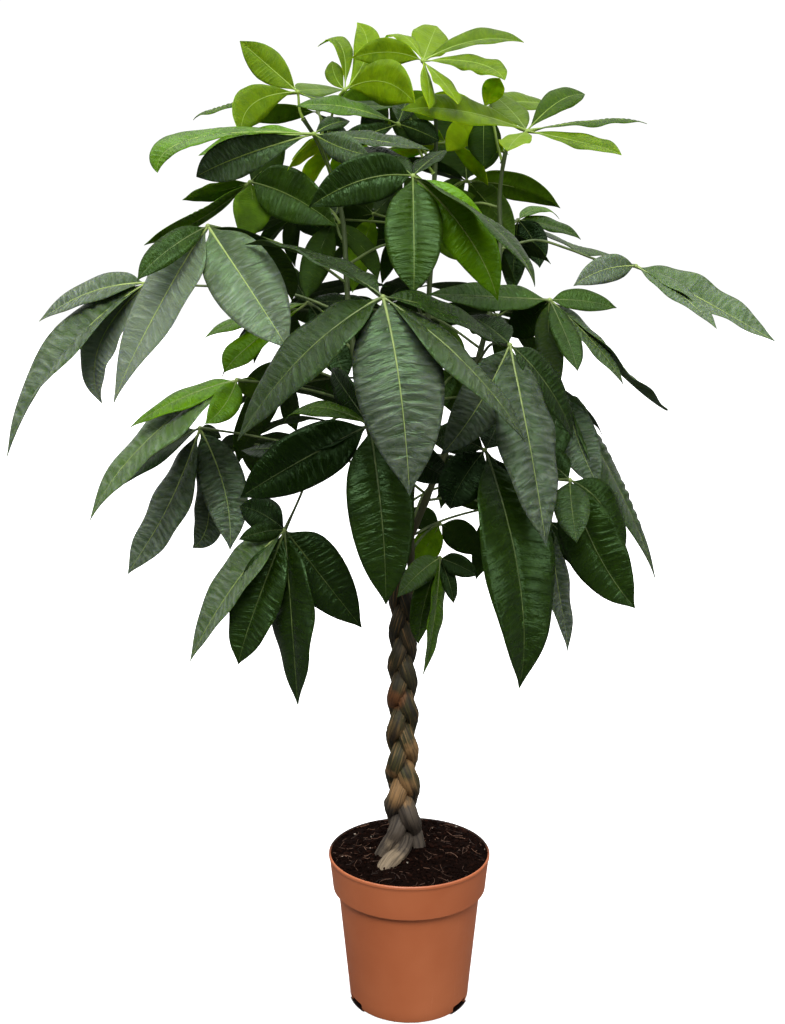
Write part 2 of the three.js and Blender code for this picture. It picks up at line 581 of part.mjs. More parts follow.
// A blade shows its full width to the eye, or less when it is turned about its midrib.
// Its upper side is the one towards the leaf's axis.
function turnedToShow(hub, tip, axis, share, upperSide) {
  const along = tip.clone().sub(hub).normalize();
  const toEye = EYE.clone().sub(hub);
  toEye.addScaledVector(along, -toEye.dot(along)).normalize();
  if (!upperSide && toEye.dot(axis) < 0) toEye.negate();
  const aside = along.clone().cross(toEye);
  if (aside.dot(axis) < 0) aside.negate();
  const turn = Math.acos(Math.min(1, share));
  return toEye.multiplyScalar(Math.cos(turn)).addScaledVector(aside, Math.sin(turn));
}

// Stalk: leaves the stem outwards and upwards, or goes on from the stem's tip, and reaches the hub.
// It starts a fit gap off the stem.
function stalk(stem, from, hub, sideways, lift, fromAbove) {
  const { path, radii, solid } = stems[stem];
  const atTip = from === STEM_TIP;
  const i = atTip ? STEM_STEPS - 1 : Math.max(path.findIndex((p) => p.z > from) - 1, 0);
  const share = atTip ? 1 : THREE.MathUtils.clamp((from - path[i].z) / (path[i + 1].z - path[i].z), 0, 1);
  const root = path[i].clone().lerp(path[i + 1], share);
  const along = path[i + 1].clone().sub(path[i]).normalize();
  const way = hub.clone().sub(root);
  const reach = way.length();
  const out = way.clone().addScaledVector(along, -way.dot(along)).normalize();
  const leaving = atTip ? along : out.clone().multiplyScalar(0.8).addScaledVector(along, 0.6);
  const level = way.clone().setZ(0).normalize();
  const arriving = atTip ? way.clone().normalize() : level.setZ(fromAbove ? -1.6 : 0.1);
  const aside = new THREE.Vector3(-way.y, way.x, 0).setLength(sideways);
  const bendOut = leaving.clone().multiplyScalar(reach * 0.34).add(aside);
  const bendIn = hub.clone().addScaledVector(arriving, -reach * 0.32).add(aside).addScaledVector(UP, lift);
  for (let off = atTip ? FIT_GAP : radii[i] * 0.8; off < 20; off += 0.15) {
    const start = root.clone().addScaledVector(atTip ? along : out, off);
    const curve = new THREE.CubicBezierCurve3(start, start.clone().add(bendOut), bendIn, hub);
    const line = curve.getSpacedPoints(STALK_STEPS);
    const thickness = line.map((_, n) => STALK_RADIUS * (1.15 - (0.35 * n) / STALK_STEPS));
    const body = solidOf(rods(line, thickness, STALK_SIDES));
    if (body.minGap(solid, 1) >= FIT_GAP) return { solid: body, outer: body };
    body.delete();
  }
  return null;
}

// What has been placed so far, so that the next piece can be bent clear of it
const placed = [];
function boxOf(solid) {
  const { min, max } = solid.boundingBox();
  return new THREE.Box3(new THREE.Vector3(...min), new THREE.Vector3(...max));
}
function place(owner, solid) {
  placed.push({ owner, solid, box: boxOf(solid) });
  return solid;
}
const unsettled = [];
const crowded = [];
function settle(leaf, shapes, fixedTo) {
  let second = null;
  for (const shape of shapes) {
    if (!shape) continue;
    const { solid, outer } = shape;
    const room = boxOf(solid).expandByScalar(LEAF_CLEARANCE);
    const isClearOfOthers = placed.every(
      (other) =>
        other.owner === leaf.name ||
        other.solid === fixedTo ||
        !room.intersectsBox(other.box) ||
        other.solid.minGap(solid, LEAF_CLEARANCE) >= LEAF_CLEARANCE,
    );
    if (!isClearOfOthers) continue;
    const gap = (own) => own.minGap(outer, LEAFLET_CLEARANCE);
    if (leaf.outers.every((own) => gap(own) >= LEAFLET_CLEARANCE)) {
      leaf.outers.push(outer);
      return place(leaf.name, solid);
    }
    second ??= shape;
  }
  if (!second) {
    unsettled.push(leaf.name);
    return null;
  }
  crowded.push(leaf.name);
  leaf.outers.push(second.outer);
  return place(leaf.name, second.solid);
}
strands.forEach(({ solid }) => place("trunk", solid));
stems.forEach(({ solid }) => place("stem", solid));

// Some stalks swing aside on their way, and some reach their hub from above.
const STALK_MOVES = [0, -16, 16, -32, 32, -50, 50];
const STALK_BENDS = [0, 14, -14, 28, -28, 45, -45, 65, -65];
const STALK_LIFTS = [0, -14, 16, -30, 34];
function* stalkShapes({ stem, from, centre, swing = 0, fromAbove }) {
  for (const move of from === STEM_TIP ? [0] : STALK_MOVES) {
    for (const bend of STALK_BENDS) {
      for (const lift of STALK_LIFTS) {
        yield stalk(stem, from === STEM_TIP ? from : from + move, centre, swing + bend, lift, fromAbove);
      }
    }
  }
}
const BLADE_SHARES = [1, 0.8, 0.62];
function* bladeShapes({ centre, axis, upperSide }, { shown, shifts, tip, middle }) {
  const fullness = BLADE_FULLNESS * (1 + 0.1 * draw());
  for (const share of BLADE_SHARES) {
    for (const shift of shifts.flatMap((s) => (s ? [-s, s] : [0]))) {
      const end = tip(shift);
      const width = Math.max(shown, fullness * end.distanceTo(centre));
      const facing = shown ? turnedToShow(centre, end, axis, shown / width, upperSide) : axis;
      yield blade(centre, middle(end), end, facing, width * share);
    }
  }
}

// First the hubs and stalks, then the blades, and each leaf fused into one solid
leaves.forEach((leaf, n) => {
  leaf.name = `leaf_${String(n + 1).padStart(2, "0")}`;
  leaf.outers = [];
  const knuckle = new THREE.OctahedronGeometry(HUB_RADIUS).translate(...leaf.centre.toArray());
  leaf.parts = [place(leaf.name, solidOf(knuckle))];
  leaf.parts.push(settle(leaf, stalkShapes(leaf), stems[leaf.stem].solid));
});
for (const leaf of leaves) {
  leaf.parts.push(...leaf.leaflets.map((leaflet) => settle(leaf, bladeShapes(leaf, leaflet))));
  const whole = wasm.Manifold.union(leaf.parts.filter((part) => part));
  const isYoung = leaf.centre.z > YOUNG_HEIGHT;
  add(leaf.name, geometryOf(whole), isYoung ? COLOURS.youngLeaf : COLOURS.leaf, 0.45);
}
if (unsettled.length) console.error(`No clear place for a piece of: ${unsettled.join(", ")}`);
if (crowded.length) console.error(`Leaflets that touch their neighbours: ${crowded.join(", ")}`);

export default tree;
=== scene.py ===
# %% [markdown]
# # A potted money tree
#
# A money tree is a young pachira: three woody stems plaited into one trunk, a green stem above each,
# and palmate leaves on long thin stalks. It stands in a round plastic nursery pot.
# The solids of the plant are loaded first and stay where they are. A finer piece is then modelled over each
# of them, so the solids say where things are, and this file says how they look.

# %% Load the solids
import math
import random

import bmesh
import bpy
import numpy as np
from mathutils import Matrix, Vector, noise


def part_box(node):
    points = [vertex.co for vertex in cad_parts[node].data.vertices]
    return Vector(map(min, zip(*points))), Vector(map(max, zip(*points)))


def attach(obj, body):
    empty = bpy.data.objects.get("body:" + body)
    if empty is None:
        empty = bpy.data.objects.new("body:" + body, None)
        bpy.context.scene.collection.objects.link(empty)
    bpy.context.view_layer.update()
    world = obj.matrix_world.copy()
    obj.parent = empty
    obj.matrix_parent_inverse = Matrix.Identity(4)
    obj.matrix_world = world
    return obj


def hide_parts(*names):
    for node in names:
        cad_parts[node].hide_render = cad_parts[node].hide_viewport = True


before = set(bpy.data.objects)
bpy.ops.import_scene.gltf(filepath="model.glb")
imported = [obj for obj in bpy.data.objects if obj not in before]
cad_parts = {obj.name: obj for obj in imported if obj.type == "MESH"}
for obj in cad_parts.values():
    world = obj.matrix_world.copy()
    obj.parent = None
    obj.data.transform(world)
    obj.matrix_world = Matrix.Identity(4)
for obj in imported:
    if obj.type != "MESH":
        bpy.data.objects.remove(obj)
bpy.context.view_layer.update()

MM = 0.001
SEED = 20
chance = random.Random(SEED)

# %% [markdown]
# ## Camera
#
# The photograph was taken from a little above the middle of the crown, looking slightly down. The pot's rim
# and foot show as ellipses, and their flatness gives the height and the tilt. The lens is given as the
# number of pixels that a metre takes at one metre.

# %% Camera
IMAGE_WIDTH, IMAGE_HEIGHT = 785, 1024
FOCAL_PIXELS = 1220
SENSOR_MM = 36
SEES_TO = 200
EYE = (-0.0218, -1.5024, 0.895)
TILT_DOWN = math.radians(9.4)

bpy.ops.object.camera_add(location=EYE, rotation=(math.pi / 2 - TILT_DOWN, 0, 0))
camera = bpy.context.object
camera.data.sensor_width = SENSOR_MM
camera.data.lens = SENSOR_MM * FOCAL_PIXELS / max(IMAGE_WIDTH, IMAGE_HEIGHT)
camera.data.clip_end = SEES_TO
bpy.context.scene.camera = camera
print("lens:", round(camera.data.lens, 1), "mm")

# %% [markdown]
# ## Materials
#
# Every finish here is a network of nodes that starts from Blender's Principled shader. A small helper adds
# nodes and plugs things into them, so that each material reads as a list of what it is made of. The sky is a
# network too.

# %% A helper for materials
def linear(*colour):
    """A colour written as on a screen, 0 to 255, as the linear light that a shader takes."""
    shares = [c / 255 for c in colour]
    return tuple(s / 12.92 if s <= 0.04045 else ((s + 0.055) / 1.055) ** 2.4 for s in shares) + (1,)


class Network:
    """A tree of nodes, and a short way to add to it."""

    def __init__(self, tree):
        self.nodes, self.links = tree.nodes, tree.links

    def plug(self, value, socket):
        if isinstance(value, bpy.types.NodeSocket):
            self.links.new(value, socket)
        else:
            socket.default_value = value

    def add(self, kind, output=0, inputs=(), /, **settings):
        """Adds a node and gives one of its outputs, or the node itself where output is None."""
        node = self.nodes.new("ShaderNode" + kind)
        for name, value in settings.items():
            setattr(node, name, value)
        for socket, value in dict(inputs).items():
            self.plug(value, node.inputs[socket])
        return node if output is None else node.outputs[output]

    def math(self, operation, *values):
        return self.add("Math", 0, enumerate(values), operation=operation)

    def times(self, *values):
        return self.math("MULTIPLY", *values)

    def between(self, value, low, high, to_low=0, to_high=1):
        inputs = {"Value": value, "From Min": low, "From Max": high, "To Min": to_low, "To Max": to_high}
        return self.add("MapRange", 0, inputs)

    def parts(self, vector):
        """The X, Y and Z of a vector, by name."""
        return self.add("SeparateXYZ", None, {"Vector": vector}).outputs


class Finish(Network):
    """A material of one Principled shader, with what the finishes below have in common."""

    def __init__(self, name, **sockets):
        self.material = bpy.data.materials.new(name)
        self.material.use_nodes = True
        super().__init__(self.material.node_tree)
        self.shader = self.nodes["Principled BSDF"]
        for socket, value in sockets.items():
            self.shader.inputs[socket.replace("_", " ")].default_value = value

    def stretched(self, where, stretch):
        return self.add("Mapping", 0, {"Vector": where, "Scale": stretch})

    def place(self):
        """A place on the piece, in metres."""
        return self.add("TexCoord", "Object")

    def away_from(self, point):
        return self.add("VectorMath", "Value", {0: self.place(), 1: point}, operation="DISTANCE")

    def marked(self, name, output="Fac"):
        """What the mesh was marked with, such as the tone of a leaflet."""
        return self.add("Attribute", output, attribute_name=name)

    def noise(self, scale, where=None, upright=1, detail=4, roughness=0.55, distortion=0):
        """A pattern over the piece. With upright under 1 it is drawn out along the height."""
        where = where or self.stretched(self.place(), (1, 1, upright))
        inputs = {"Scale": scale, "Detail": detail, "Roughness": roughness, "Distortion": distortion}
        return self.add("TexNoise", 0, {"Vector": where, **inputs})

    def drift(self, scale, low=0, high=1, **settings):
        """A slow change from place to place, between two values."""
        return self.between(self.noise(scale, **settings), 0.3, 0.7, low, high)

    def mix(self, share, first, second):
        """Two colours mixed by a share of the second."""
        return self.add("Mix", 2, {0: share, 6: first, 7: second}, data_type="RGBA")

    def paint(self, colour, roughness=None):
        self.plug(colour, self.shader.inputs["Base Color"])
        if roughness is not None:
            self.plug(roughness, self.shader.inputs["Roughness"])

    def relief(self, *layers):
        """Bumps laid one over the other, each as height, strength and depth in millimetres."""
        normal = None
        for height, strength, depth in layers:
            inputs = {"Height": height, "Strength": strength, "Distance": depth * MM}
            if normal:
                inputs["Normal"] = normal
            normal = self.add("Bump", 0, inputs)
        self.plug(normal, self.shader.inputs["Normal"])


# %% [markdown]
# ## Floor and light
#
# A plant is photographed for a catalogue on white, under large soft lamps. If the whole room were that
# bright, its light would reach in under every leaf and the crown would look flat. So the sky and the floor
# are shown white to the camera only, and a dimmer room lights the plant: pale behind and above, dark at the
# front and below. The floor's glow is taken away under the pot, which keeps its shadow there, and in the
# drain notches the floor is painted near black as painted shade.

# %% Floor
FLOOR_RADIUS = 60
FLOOR_SIDES = 64
FLOOR_SEEN, FLOOR_LIT = linear(242, 242, 242), linear(84, 84, 84)
SHADOW_FADES = (0.18, 0.75)
SHADOW_GLOW = 0.42
UNDER_POT = (0.074, 0.082)
NOTCH_TURNS = (87, 207, 327)
NOTCH_SIZE = Vector((26, 30, 16.4))
NOTCH_RING = 76
NOTCH_SHADE = (0.018, 0.021)
POT_OUTLINE = (0.0785, 0.08)
# Painted shade: the near black that the floor is painted in the drain notches
NOTCH_PAINTED_SHADE = linear(20, 10, 6)


def round_axis(reach, degrees, height=0):
    """A place in metres, from the reach and height in millimetres and the turn round the pot's axis."""
    turn = math.radians(degrees)
    return Vector((math.cos(turn) * reach, math.sin(turn) * reach, height)) * MM


bpy.ops.mesh.primitive_circle_add(vertices=FLOOR_SIDES, radius=FLOOR_RADIUS, fill_type="NGON")
floor = bpy.context.object
floor.name = "studio_floor"

pale = Finish("pale_floor", Roughness=0.8, Specular_IOR_Level=0.1, Emission_Color=(1, 1, 1, 1))
seen = pale.add("LightPath", "Is Camera Ray")
from_pot = pale.away_from((0, 0, 0))
glow = pale.times(pale.between(from_pot, *SHADOW_FADES, SHADOW_GLOW, 1), pale.between(from_pot, *UNDER_POT))
# Painted shade: in the drain notches, inside the pot's outline, the floor is painted near black and loses its
# glow
outside_notch_shade = 1
for degrees in NOTCH_TURNS:
    gap = pale.away_from(round_axis(NOTCH_RING, degrees))
    clear = pale.math("MAXIMUM", pale.between(gap, *NOTCH_SHADE), pale.between(from_pot, *POT_OUTLINE))
    outside_notch_shade = pale.times(outside_notch_shade, clear)
glow = pale.times(glow, outside_notch_shade)
pale.plug(pale.times(seen, glow), pale.shader.inputs["Emission Strength"])
pale.paint(pale.mix(outside_notch_shade, NOTCH_PAINTED_SHADE, pale.mix(seen, FLOOR_LIT, FLOOR_SEEN)))
floor.data.materials.append(pale.material)
print("floor radius:", FLOOR_RADIUS, "m")

# %% Sky
# From and to which direction, and how bright there: from front to back, and from low to high
SKY_DEPTH = (-0.2, 0.9, 0.03, 0.5)
SKY_RISE = (0.4, 0.9, 0.02, 1.9)
SKY_SEEN = 1.05
world = bpy.data.worlds.new("studio_sky")
world.use_nodes = True
sky = Network(world.node_tree)
sky.nodes.remove(sky.nodes["Background"])
toward = sky.parts(sky.add("TexCoord", "Generated"))
lit = sky.math("MAXIMUM", sky.between(toward["Y"], *SKY_DEPTH), sky.between(toward["Z"], *SKY_RISE))
room, white = [sky.add("Background", 0, {"Color": (1, 1, 1, 1), "Strength": s}) for s in (lit, SKY_SEEN)]
either = sky.add("MixShader", 0, {0: sky.add("LightPath", "Is Camera Ray"), 1: room, 2: white})
sky.plug(either, sky.nodes["World Output"].inputs["Surface"])
bpy.context.scene.world = world
bpy.context.scene.view_settings.view_transform = "Standard"
print("sky: dim at", SKY_DEPTH[2], "and bright at", SKY_RISE[3])

# %% [markdown]
# The key lamp hangs above the camera, and weak fills stand at the sides. Two more behind the plant light its
# back. They give no reflections, as those would lie like a veil on the leaves when seen from the front.

# %% Lamps
# Each lamp's place and size in metres, and its watts
LAMPS = {
    "key_above_the_camera": ((-0.35, -2.4, 2.9), (2.2, 1.2), 98),
    "fill_from_the_left": ((-2.4, -1.6, 1.2), (0.8, 2.0), 6),
    "fill_from_the_right": ((2.3, -1.9, 1.2), (0.8, 2.0), 23),
    "fill_from_behind_left": ((-1.6, 2.2, 1.7), (1.6, 1.6), 26),
    "fill_from_behind_right": ((1.6, 2.2, 1.7), (1.6, 1.6), 26),
}
LIT_POINT = Vector((0, 0, 0.75))
for name, (place, size, watts) in LAMPS.items():
    aim = (LIT_POINT - Vector(place)).to_track_quat("-Z", "Y")
    bpy.ops.object.light_add(type="AREA", location=place, rotation=aim.to_euler())
    lamp = bpy.context.object
    lamp.name = name
    lamp.data.shape = "RECTANGLE"
    lamp.data.size, lamp.data.size_y = size
    lamp.data.energy = watts
    lamp.visible_glossy = "behind" not in name
print("lamps:", ", ".join(LAMPS))

# %% [markdown]
# ## Helpers for modelling
#
# An operator works on all that is selected, so each piece starts from nothing selected. A finished piece
# keeps its place in its mesh, rides on the plant's one body, and hides the solids it stands for.

# %% Helpers for modelling
def select_only(*objects):
    bpy.ops.object.select_all(action="DESELECT")
    for thing in objects:
        thing.select_set(True)
    bpy.context.view_layer.objects.active = objects[0]


def apply_modifier(piece, kind, **settings):
    select_only(piece)
    modifier = piece.modifiers.new(kind.lower(), kind)
    for name, value in settings.items():
        setattr(modifier, name, value)
    bpy.ops.object.modifier_apply(modifier=modifier.name)


def join(name, parts):
    select_only(*parts)
    bpy.ops.object.join()
    piece = bpy.context.object
    piece.name = name
    return piece


def freeze(piece):
    """Puts the piece's place, turn and scale into its mesh."""
    select_only(piece)
    bpy.ops.object.transform_apply(location=True, rotation=True, scale=True)


def settle(piece, slot, *nodes):
    """Ties a finished piece to the plant."""
    freeze(piece)
    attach(piece, "root")
    if nodes:
        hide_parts(*nodes)
    triangles = sum(len(face.vertices) - 2 for face in piece.data.polygons)
    print(f"{piece.name}: {triangles} triangles")


# %% [markdown]
# ## The pot
#
# A nursery pot is moulded in one go from thin terracotta-coloured plastic: a tapering wall, a deep band at
# the rim that the next pot in the stack sits on, and a foot with notches that let water out. It is turned
# here as on a lathe: a disc's edge is extruded from one height and radius to the next, up the outside, over
# the rim and down the inside. The soil is turned later in the same way.

# %% Turn the pot
POT_SIDES = 112
POT_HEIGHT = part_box("pot")[1].z
DISC = [(32, 0)]
FOOT = [(35, 7.5), (65, 7.5), (68, 0), (76.4, 0), (77.6, 0.8), (78, 2)]
WALL = [(79.2, 14), (92.2, 144), (92.8, 149.4)]
BAND = [(93.6, 150.6), (98.2, 150.9), (99.4, 151.8), (99.8, 154.5), (101.6, 172), (103.7, 190)]
LIP = [(104.2, 193.2), (105, 194.4), (105, 196.9), (104.2, 198), (103.2, 198), (102.4, 197)]
INSIDE = [(96.9, 156), (89.9, 149), (76, 10.1), (32, 10.1), (29, 2.6)]
POT_RINGS = DISC + FOOT + WALL + BAND + LIP + INSIDE


def edit_edges(action):
    """Enters edit mode with all edges selected or deselected."""
    bpy.ops.object.mode_set(mode="EDIT")
    bpy.ops.mesh.select_mode(type="EDGE")
    bpy.ops.mesh.select_all(action=action)


def turned(name, sides, rings):
    """A body of rings, each a radius and a height in millimetres. It is left in edit mode."""
    radius, height = rings[0]
    bpy.ops.mesh.primitive_circle_add(vertices=sides, radius=radius * MM, fill_type="NGON")
    piece = bpy.context.object
    piece.name = name
    piece.location.z = height * MM
    freeze(piece)
    edit_edges("SELECT")
    for next_radius, next_height in rings[1:]:
        bpy.ops.mesh.extrude_edges_move(TRANSFORM_OT_translate={"value": (0, 0, (next_height - height) * MM)})
        share = next_radius / radius
        bpy.ops.transform.resize(value=(share, share, 1))
        radius, height = next_radius, next_height
    bpy.ops.mesh.edge_face_add()
    return piece


def finish_faces():
    """Turns all the faces outwards and leaves edit mode."""
    bpy.ops.mesh.select_all(action="SELECT")
    bpy.ops.mesh.normals_make_consistent(inside=False)
    bpy.ops.object.mode_set(mode="OBJECT")


pot = turned("terracotta_pot", POT_SIDES, POT_RINGS)
finish_faces()
print("pot rings:", len(POT_RINGS), "height:", round(POT_HEIGHT, 3))

# %% Cut the drain notches and the holes in the floor
NOTCH_ROUNDING = 2.5 * MM
HOLE = {"vertices": 24, "radius": 6 * MM, "depth": 30 * MM}
HOLE_RING, HOLE_HEIGHT = 50, 7.5
HOLE_TURNS = range(30, 360, 60)
POT_SMOOTH = math.radians(28)
cutters = []
for degrees in NOTCH_TURNS:
    place, turn = round_axis(NOTCH_RING, degrees), math.radians(degrees)
    bpy.ops.mesh.primitive_cube_add(size=1, location=place, rotation=(0, 0, turn))
    cutter = bpy.context.object
    cutter.scale = NOTCH_SIZE * MM
    freeze(cutter)
    apply_modifier(cutter, "BEVEL", width=NOTCH_ROUNDING, segments=3)
    cutters.append(cutter)
for degrees in HOLE_TURNS:
    bpy.ops.mesh.primitive_cylinder_add(**HOLE, location=round_axis(HOLE_RING, degrees, HOLE_HEIGHT))
    cutters.append(bpy.context.object)
cutter = join("cutters", cutters)
apply_modifier(pot, "BOOLEAN", operation="DIFFERENCE", object=cutter, solver="EXACT")
bpy.data.objects.remove(cutter)

select_only(pot)
bpy.ops.object.shade_smooth_by_angle(angle=POT_SMOOTH)
print("notches:", len(NOTCH_TURNS), "holes:", len(HOLE_TURNS))

# %% [markdown]
# Moulded plastic is not one flat colour. The colour drifts a little, dust and handling leave pale scuffs,
# and the surface is very finely grained, which is what makes its highlights soft. At the back, the top of
# the rim is painted dark brown.

# %% The pot's finish
TERRACOTTA = linear(194, 112, 70)
TERRACOTTA_DEEP = linear(180, 98, 58)
SCUFF = linear(214, 140, 104)
RIM_BACK_BROWN = linear(44, 26, 16)
RIM_BACK_BROWN_FROM = (0.1945, 0.1965)
RIM_BACK_BROWN_BEHIND = (-0.03, 0.02)
plastic = Finish("terracotta_plastic")
colour = plastic.mix(plastic.drift(9, detail=3), TERRACOTTA_DEEP, TERRACOTTA)
scratches = plastic.noise(240, upright=0.05, detail=5, roughness=0.7)
handled = plastic.between(plastic.noise(16), 0.5, 0.7, 0, 0.55)
colour = plastic.mix(plastic.times(plastic.between(scratches, 0.6, 0.78), handled), colour, SCUFF)
place = plastic.parts(plastic.place())
# The top of the rim is painted dark brown, at the back only
behind = plastic.between(place["Y"], *RIM_BACK_BROWN_BEHIND)
colour = plastic.mix(plastic.times(plastic.between(place["Z"], *RIM_BACK_BROWN_FROM), behind), colour, RIM_BACK_BROWN)
plastic.paint(colour, plastic.drift(34, 0.36, 0.5))
ripple = plastic.noise(60, upright=0.3, detail=2)
plastic.relief((ripple, 0.16, 0.6), (plastic.noise(1500, detail=2), 0.22, 0.12))
pot.data.materials.append(plastic.material)
settle(pot, "pot_plastic", "pot")

# %% [markdown]
# ## Reading the shapes from the solids
#
# Every stem, stalk and leaflet of the solids is a skin over rings of corners. Walking from each ring to its
# neighbours gives back the line that the piece follows and how thick it is. The finer pieces are then bent
# along those same lines, so they stay where the solids are.

# %% Walk the rings of a solid
WELD = 2e-6
FLAT = 0.99999


def welded(node):
    """A copy of a solid's mesh with its loose triangles joined. The solid itself is left alone."""
    mesh = bmesh.new()
    mesh.from_mesh(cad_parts[node].data)
    bmesh.ops.remove_doubles(mesh, verts=mesh.verts, dist=WELD)
    mesh.normal_update()
    return mesh


def neighbours(corners, seen):
    found = {edge.other_vert(corner) for corner in corners for edge in corner.link_edges}
    return found - seen


def walk(ring, seen):
    """The rings that follow one another from the given ring, each as a list of places."""
    rings = [ring]
    seen = seen | ring
    while True:
        ring = neighbours(ring, seen)
        if len(ring) != len(rings[0]):
            return [[corner.co.copy() for corner in r] for r in rings]
        rings.append(ring)
        seen |= ring


def flat_ends(mesh, sides):
    """The flat ends of a rod with so many sides, each as a set of corners."""
    ends = []
    for face in mesh.faces:
        patch, to_visit = {face}, [face]
        while to_visit:
            for edge in to_visit.pop().edges:
                for other in edge.link_faces:
                    if other not in patch and other.normal.dot(face.normal) > FLAT:
                        patch.add(other)
                        to_visit.append(other)
        corners = {corner for f in patch for corner in f.verts}
        if len(patch) == sides - 2 and len(corners) == sides and corners not in ends:
            if len(neighbours(corners, corners)) == sides:
                ends.append(corners)
    return ends


def middle(ring):
    return sum(ring, Vector()) / len(ring)


def rod_of(mesh, sides, least):
    """The middles and radii of a rod's rings, from its lowest or only flat end."""
    walks = [walk(end, end) for end in flat_ends(mesh, sides)]
    walks = [rings for rings in walks if len(rings) >= least]
    rings = min(walks, key=lambda rings: middle(rings[0]).z)
    middles = [middle(ring) for ring in rings]
    radii = [sum((corner - centre).length for corner in ring) / sides for ring, centre in zip(rings, middles)]
    return middles, radii


# %% [markdown]
# Each leaflet of the solids runs from the hub to its tip on a simple curve with three control points. Its
# rings sit at known shares of that curve, so the tip and two of the rings are enough to solve for the rest.

# %% Read the leaflets
RING_SHARES = (0.87, 0.6, 0.32)
MAY_MISS = 0.3 * MM


def margins_and_rib(ring):
    """A leaflet's ring has two margins, which are farthest apart, and the rib's top and bottom."""
    pairs = [(a, b) for i, a in enumerate(ring) for b in ring[i + 1 :]]
    margins = max(pairs, key=lambda pair: (pair[0] - pair[1]).length)
    rib = [corner for corner in ring if corner not in margins]
    return margins, rib


def leaflet_of(tip, rings):
    """The curve, width and upward directions of a leaflet, or nothing if the rings are not a leaflet's."""
    centres, ups, widths = [], [], []
    for ring in rings[:3]:
        (left, right), rib = margins_and_rib(ring)
        centres.append(middle(rib))
        ups.append(((left + right) / 2 - centres[-1]).normalized())
        widths.append((left - right).length)
    rows = np.array([[(1 - t) ** 2, 2 * t * (1 - t)] for t in RING_SHARES])
    rests = np.array([centre - tip * t**2 for centre, t in zip(centres, RING_SHARES)])
    (hub, bend), *_ = np.linalg.lstsq(rows, rests, rcond=None)
    if np.abs(rows @ [hub, bend] - rests).max() > MAY_MISS:
        return None
    return {"hub": hub, "bend": bend, "tip": np.array(tip), "width": widths[1], "ups": np.array(ups[::-1])}


def leaflets_of(mesh):
    found = []
    for corner in mesh.verts:
        if len(corner.link_edges) == 4:
            rings = walk(neighbours([corner], {corner}), {corner})
            leaflet = leaflet_of(corner.co.copy(), rings) if len(rings) >= 3 else None
            if leaflet:
                found.append(leaflet)
    return found


plan = {}
for node in sorted(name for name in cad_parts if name.startswith("leaf_")):
    mesh = welded(node)
    stalk, _ = rod_of(mesh, sides=4, least=3)
    leaflets = leaflets_of(mesh)
    hub = np.mean([leaflet["hub"] for leaflet in leaflets], axis=0)
    plan[node] = {"stalk": stalk[:4], "hub": hub, "leaflets": leaflets}
    mesh.free()
print("leaves:", len(plan), "leaflets:", sum(len(leaf["leaflets"]) for leaf in plan.values()))

# %% [markdown]
# ## Rods
#
# Strands, stems, stalks and midribs are all rods. One rod is modelled for each fineness: a cylinder whose
# upright edges are subdivided, so that it can bend. Copies of it are then bent along a path.

# %% Model the straight rods
ROD_SMOOTH = math.radians(60)


def straight_rod(name, sides, rings):
    bpy.ops.mesh.primitive_cylinder_add(vertices=sides, radius=1, depth=1, location=(0, 0, 0.5))
    rod = bpy.context.object
    rod.name = name
    freeze(rod)
    edit_edges("DESELECT")
    bpy.ops.object.mode_set(mode="OBJECT")
    for edge in rod.data.edges:
        low, high = (rod.data.vertices[i].co.z for i in edge.vertices)
        edge.select = abs(high - low) > 0.5
    bpy.ops.object.mode_set(mode="EDIT")
    bpy.ops.mesh.subdivide(number_cuts=rings - 2)
    bpy.ops.object.mode_set(mode="OBJECT")
    bpy.ops.object.shade_smooth_by_angle(angle=ROD_SMOOTH)
    print(f"{name}: {len(rod.data.vertices)} corners")
    return rod


STRAND_RINGS = 190
STEM_RINGS = 70
STALK_RINGS = 26
RIB_RINGS = 22
strand_rod = straight_rod("straight_strand", 22, STRAND_RINGS)
stem_rod = straight_rod("straight_stem", 12, STEM_RINGS)
stalk_rod = straight_rod("straight_stalk", 10, STALK_RINGS)
rib_rod = straight_rod("straight_rib", 6, RIB_RINGS)

# %% Bend copies of them
def places_of(template):
    places = np.empty(len(template.data.vertices) * 3)
    template.data.vertices.foreach_get("co", places)
    return places.reshape(-1, 3)


def copy_at(template, name, places):
    """A copy of the template with its own mesh and its corners moved to new places."""
    piece = bpy.data.objects.new(name, template.data.copy())
    bpy.context.scene.collection.objects.link(piece)
    piece.data.vertices.foreach_set("co", np.ascontiguousarray(places).ravel())
    piece.data.update()
    return piece


def smooth_path(points, count):
    """Places on a smooth curve that passes through the points."""
    points = np.array(points, float)
    before = np.vstack([2 * points[0] - points[1], points[:-1]])
    after = np.vstack([points[1:], 2 * points[-1] - points[-2]])
    slopes = (after - before) / 2
    at = np.linspace(0, len(points) - 1, count)
    i = np.minimum(at.astype(int), len(points) - 2)
    t = (at - i)[:, None]
    start = (2 * t**3 - 3 * t**2 + 1) * points[i] + (t**3 - 2 * t**2 + t) * slopes[i]
    end = (3 * t**2 - 2 * t**3) * points[i + 1] + (t**3 - t**2) * slopes[i + 1]
    return start + end


def unit(vectors):
    return vectors / np.linalg.norm(vectors, axis=-1, keepdims=True)


ASKEW = (0.31, 0.95, 0.05)


def frames_along(path):
    """At each place of a path, two directions square to it that turn as little as they can."""
    along = unit(np.gradient(path, axis=0))
    side = np.cross(along[0], ASKEW)
    sides = []
    for tangent in along:
        side = unit(side - tangent * side.dot(tangent))
        sides.append(side)
    sides = np.array(sides)
    return sides, np.cross(along, sides)


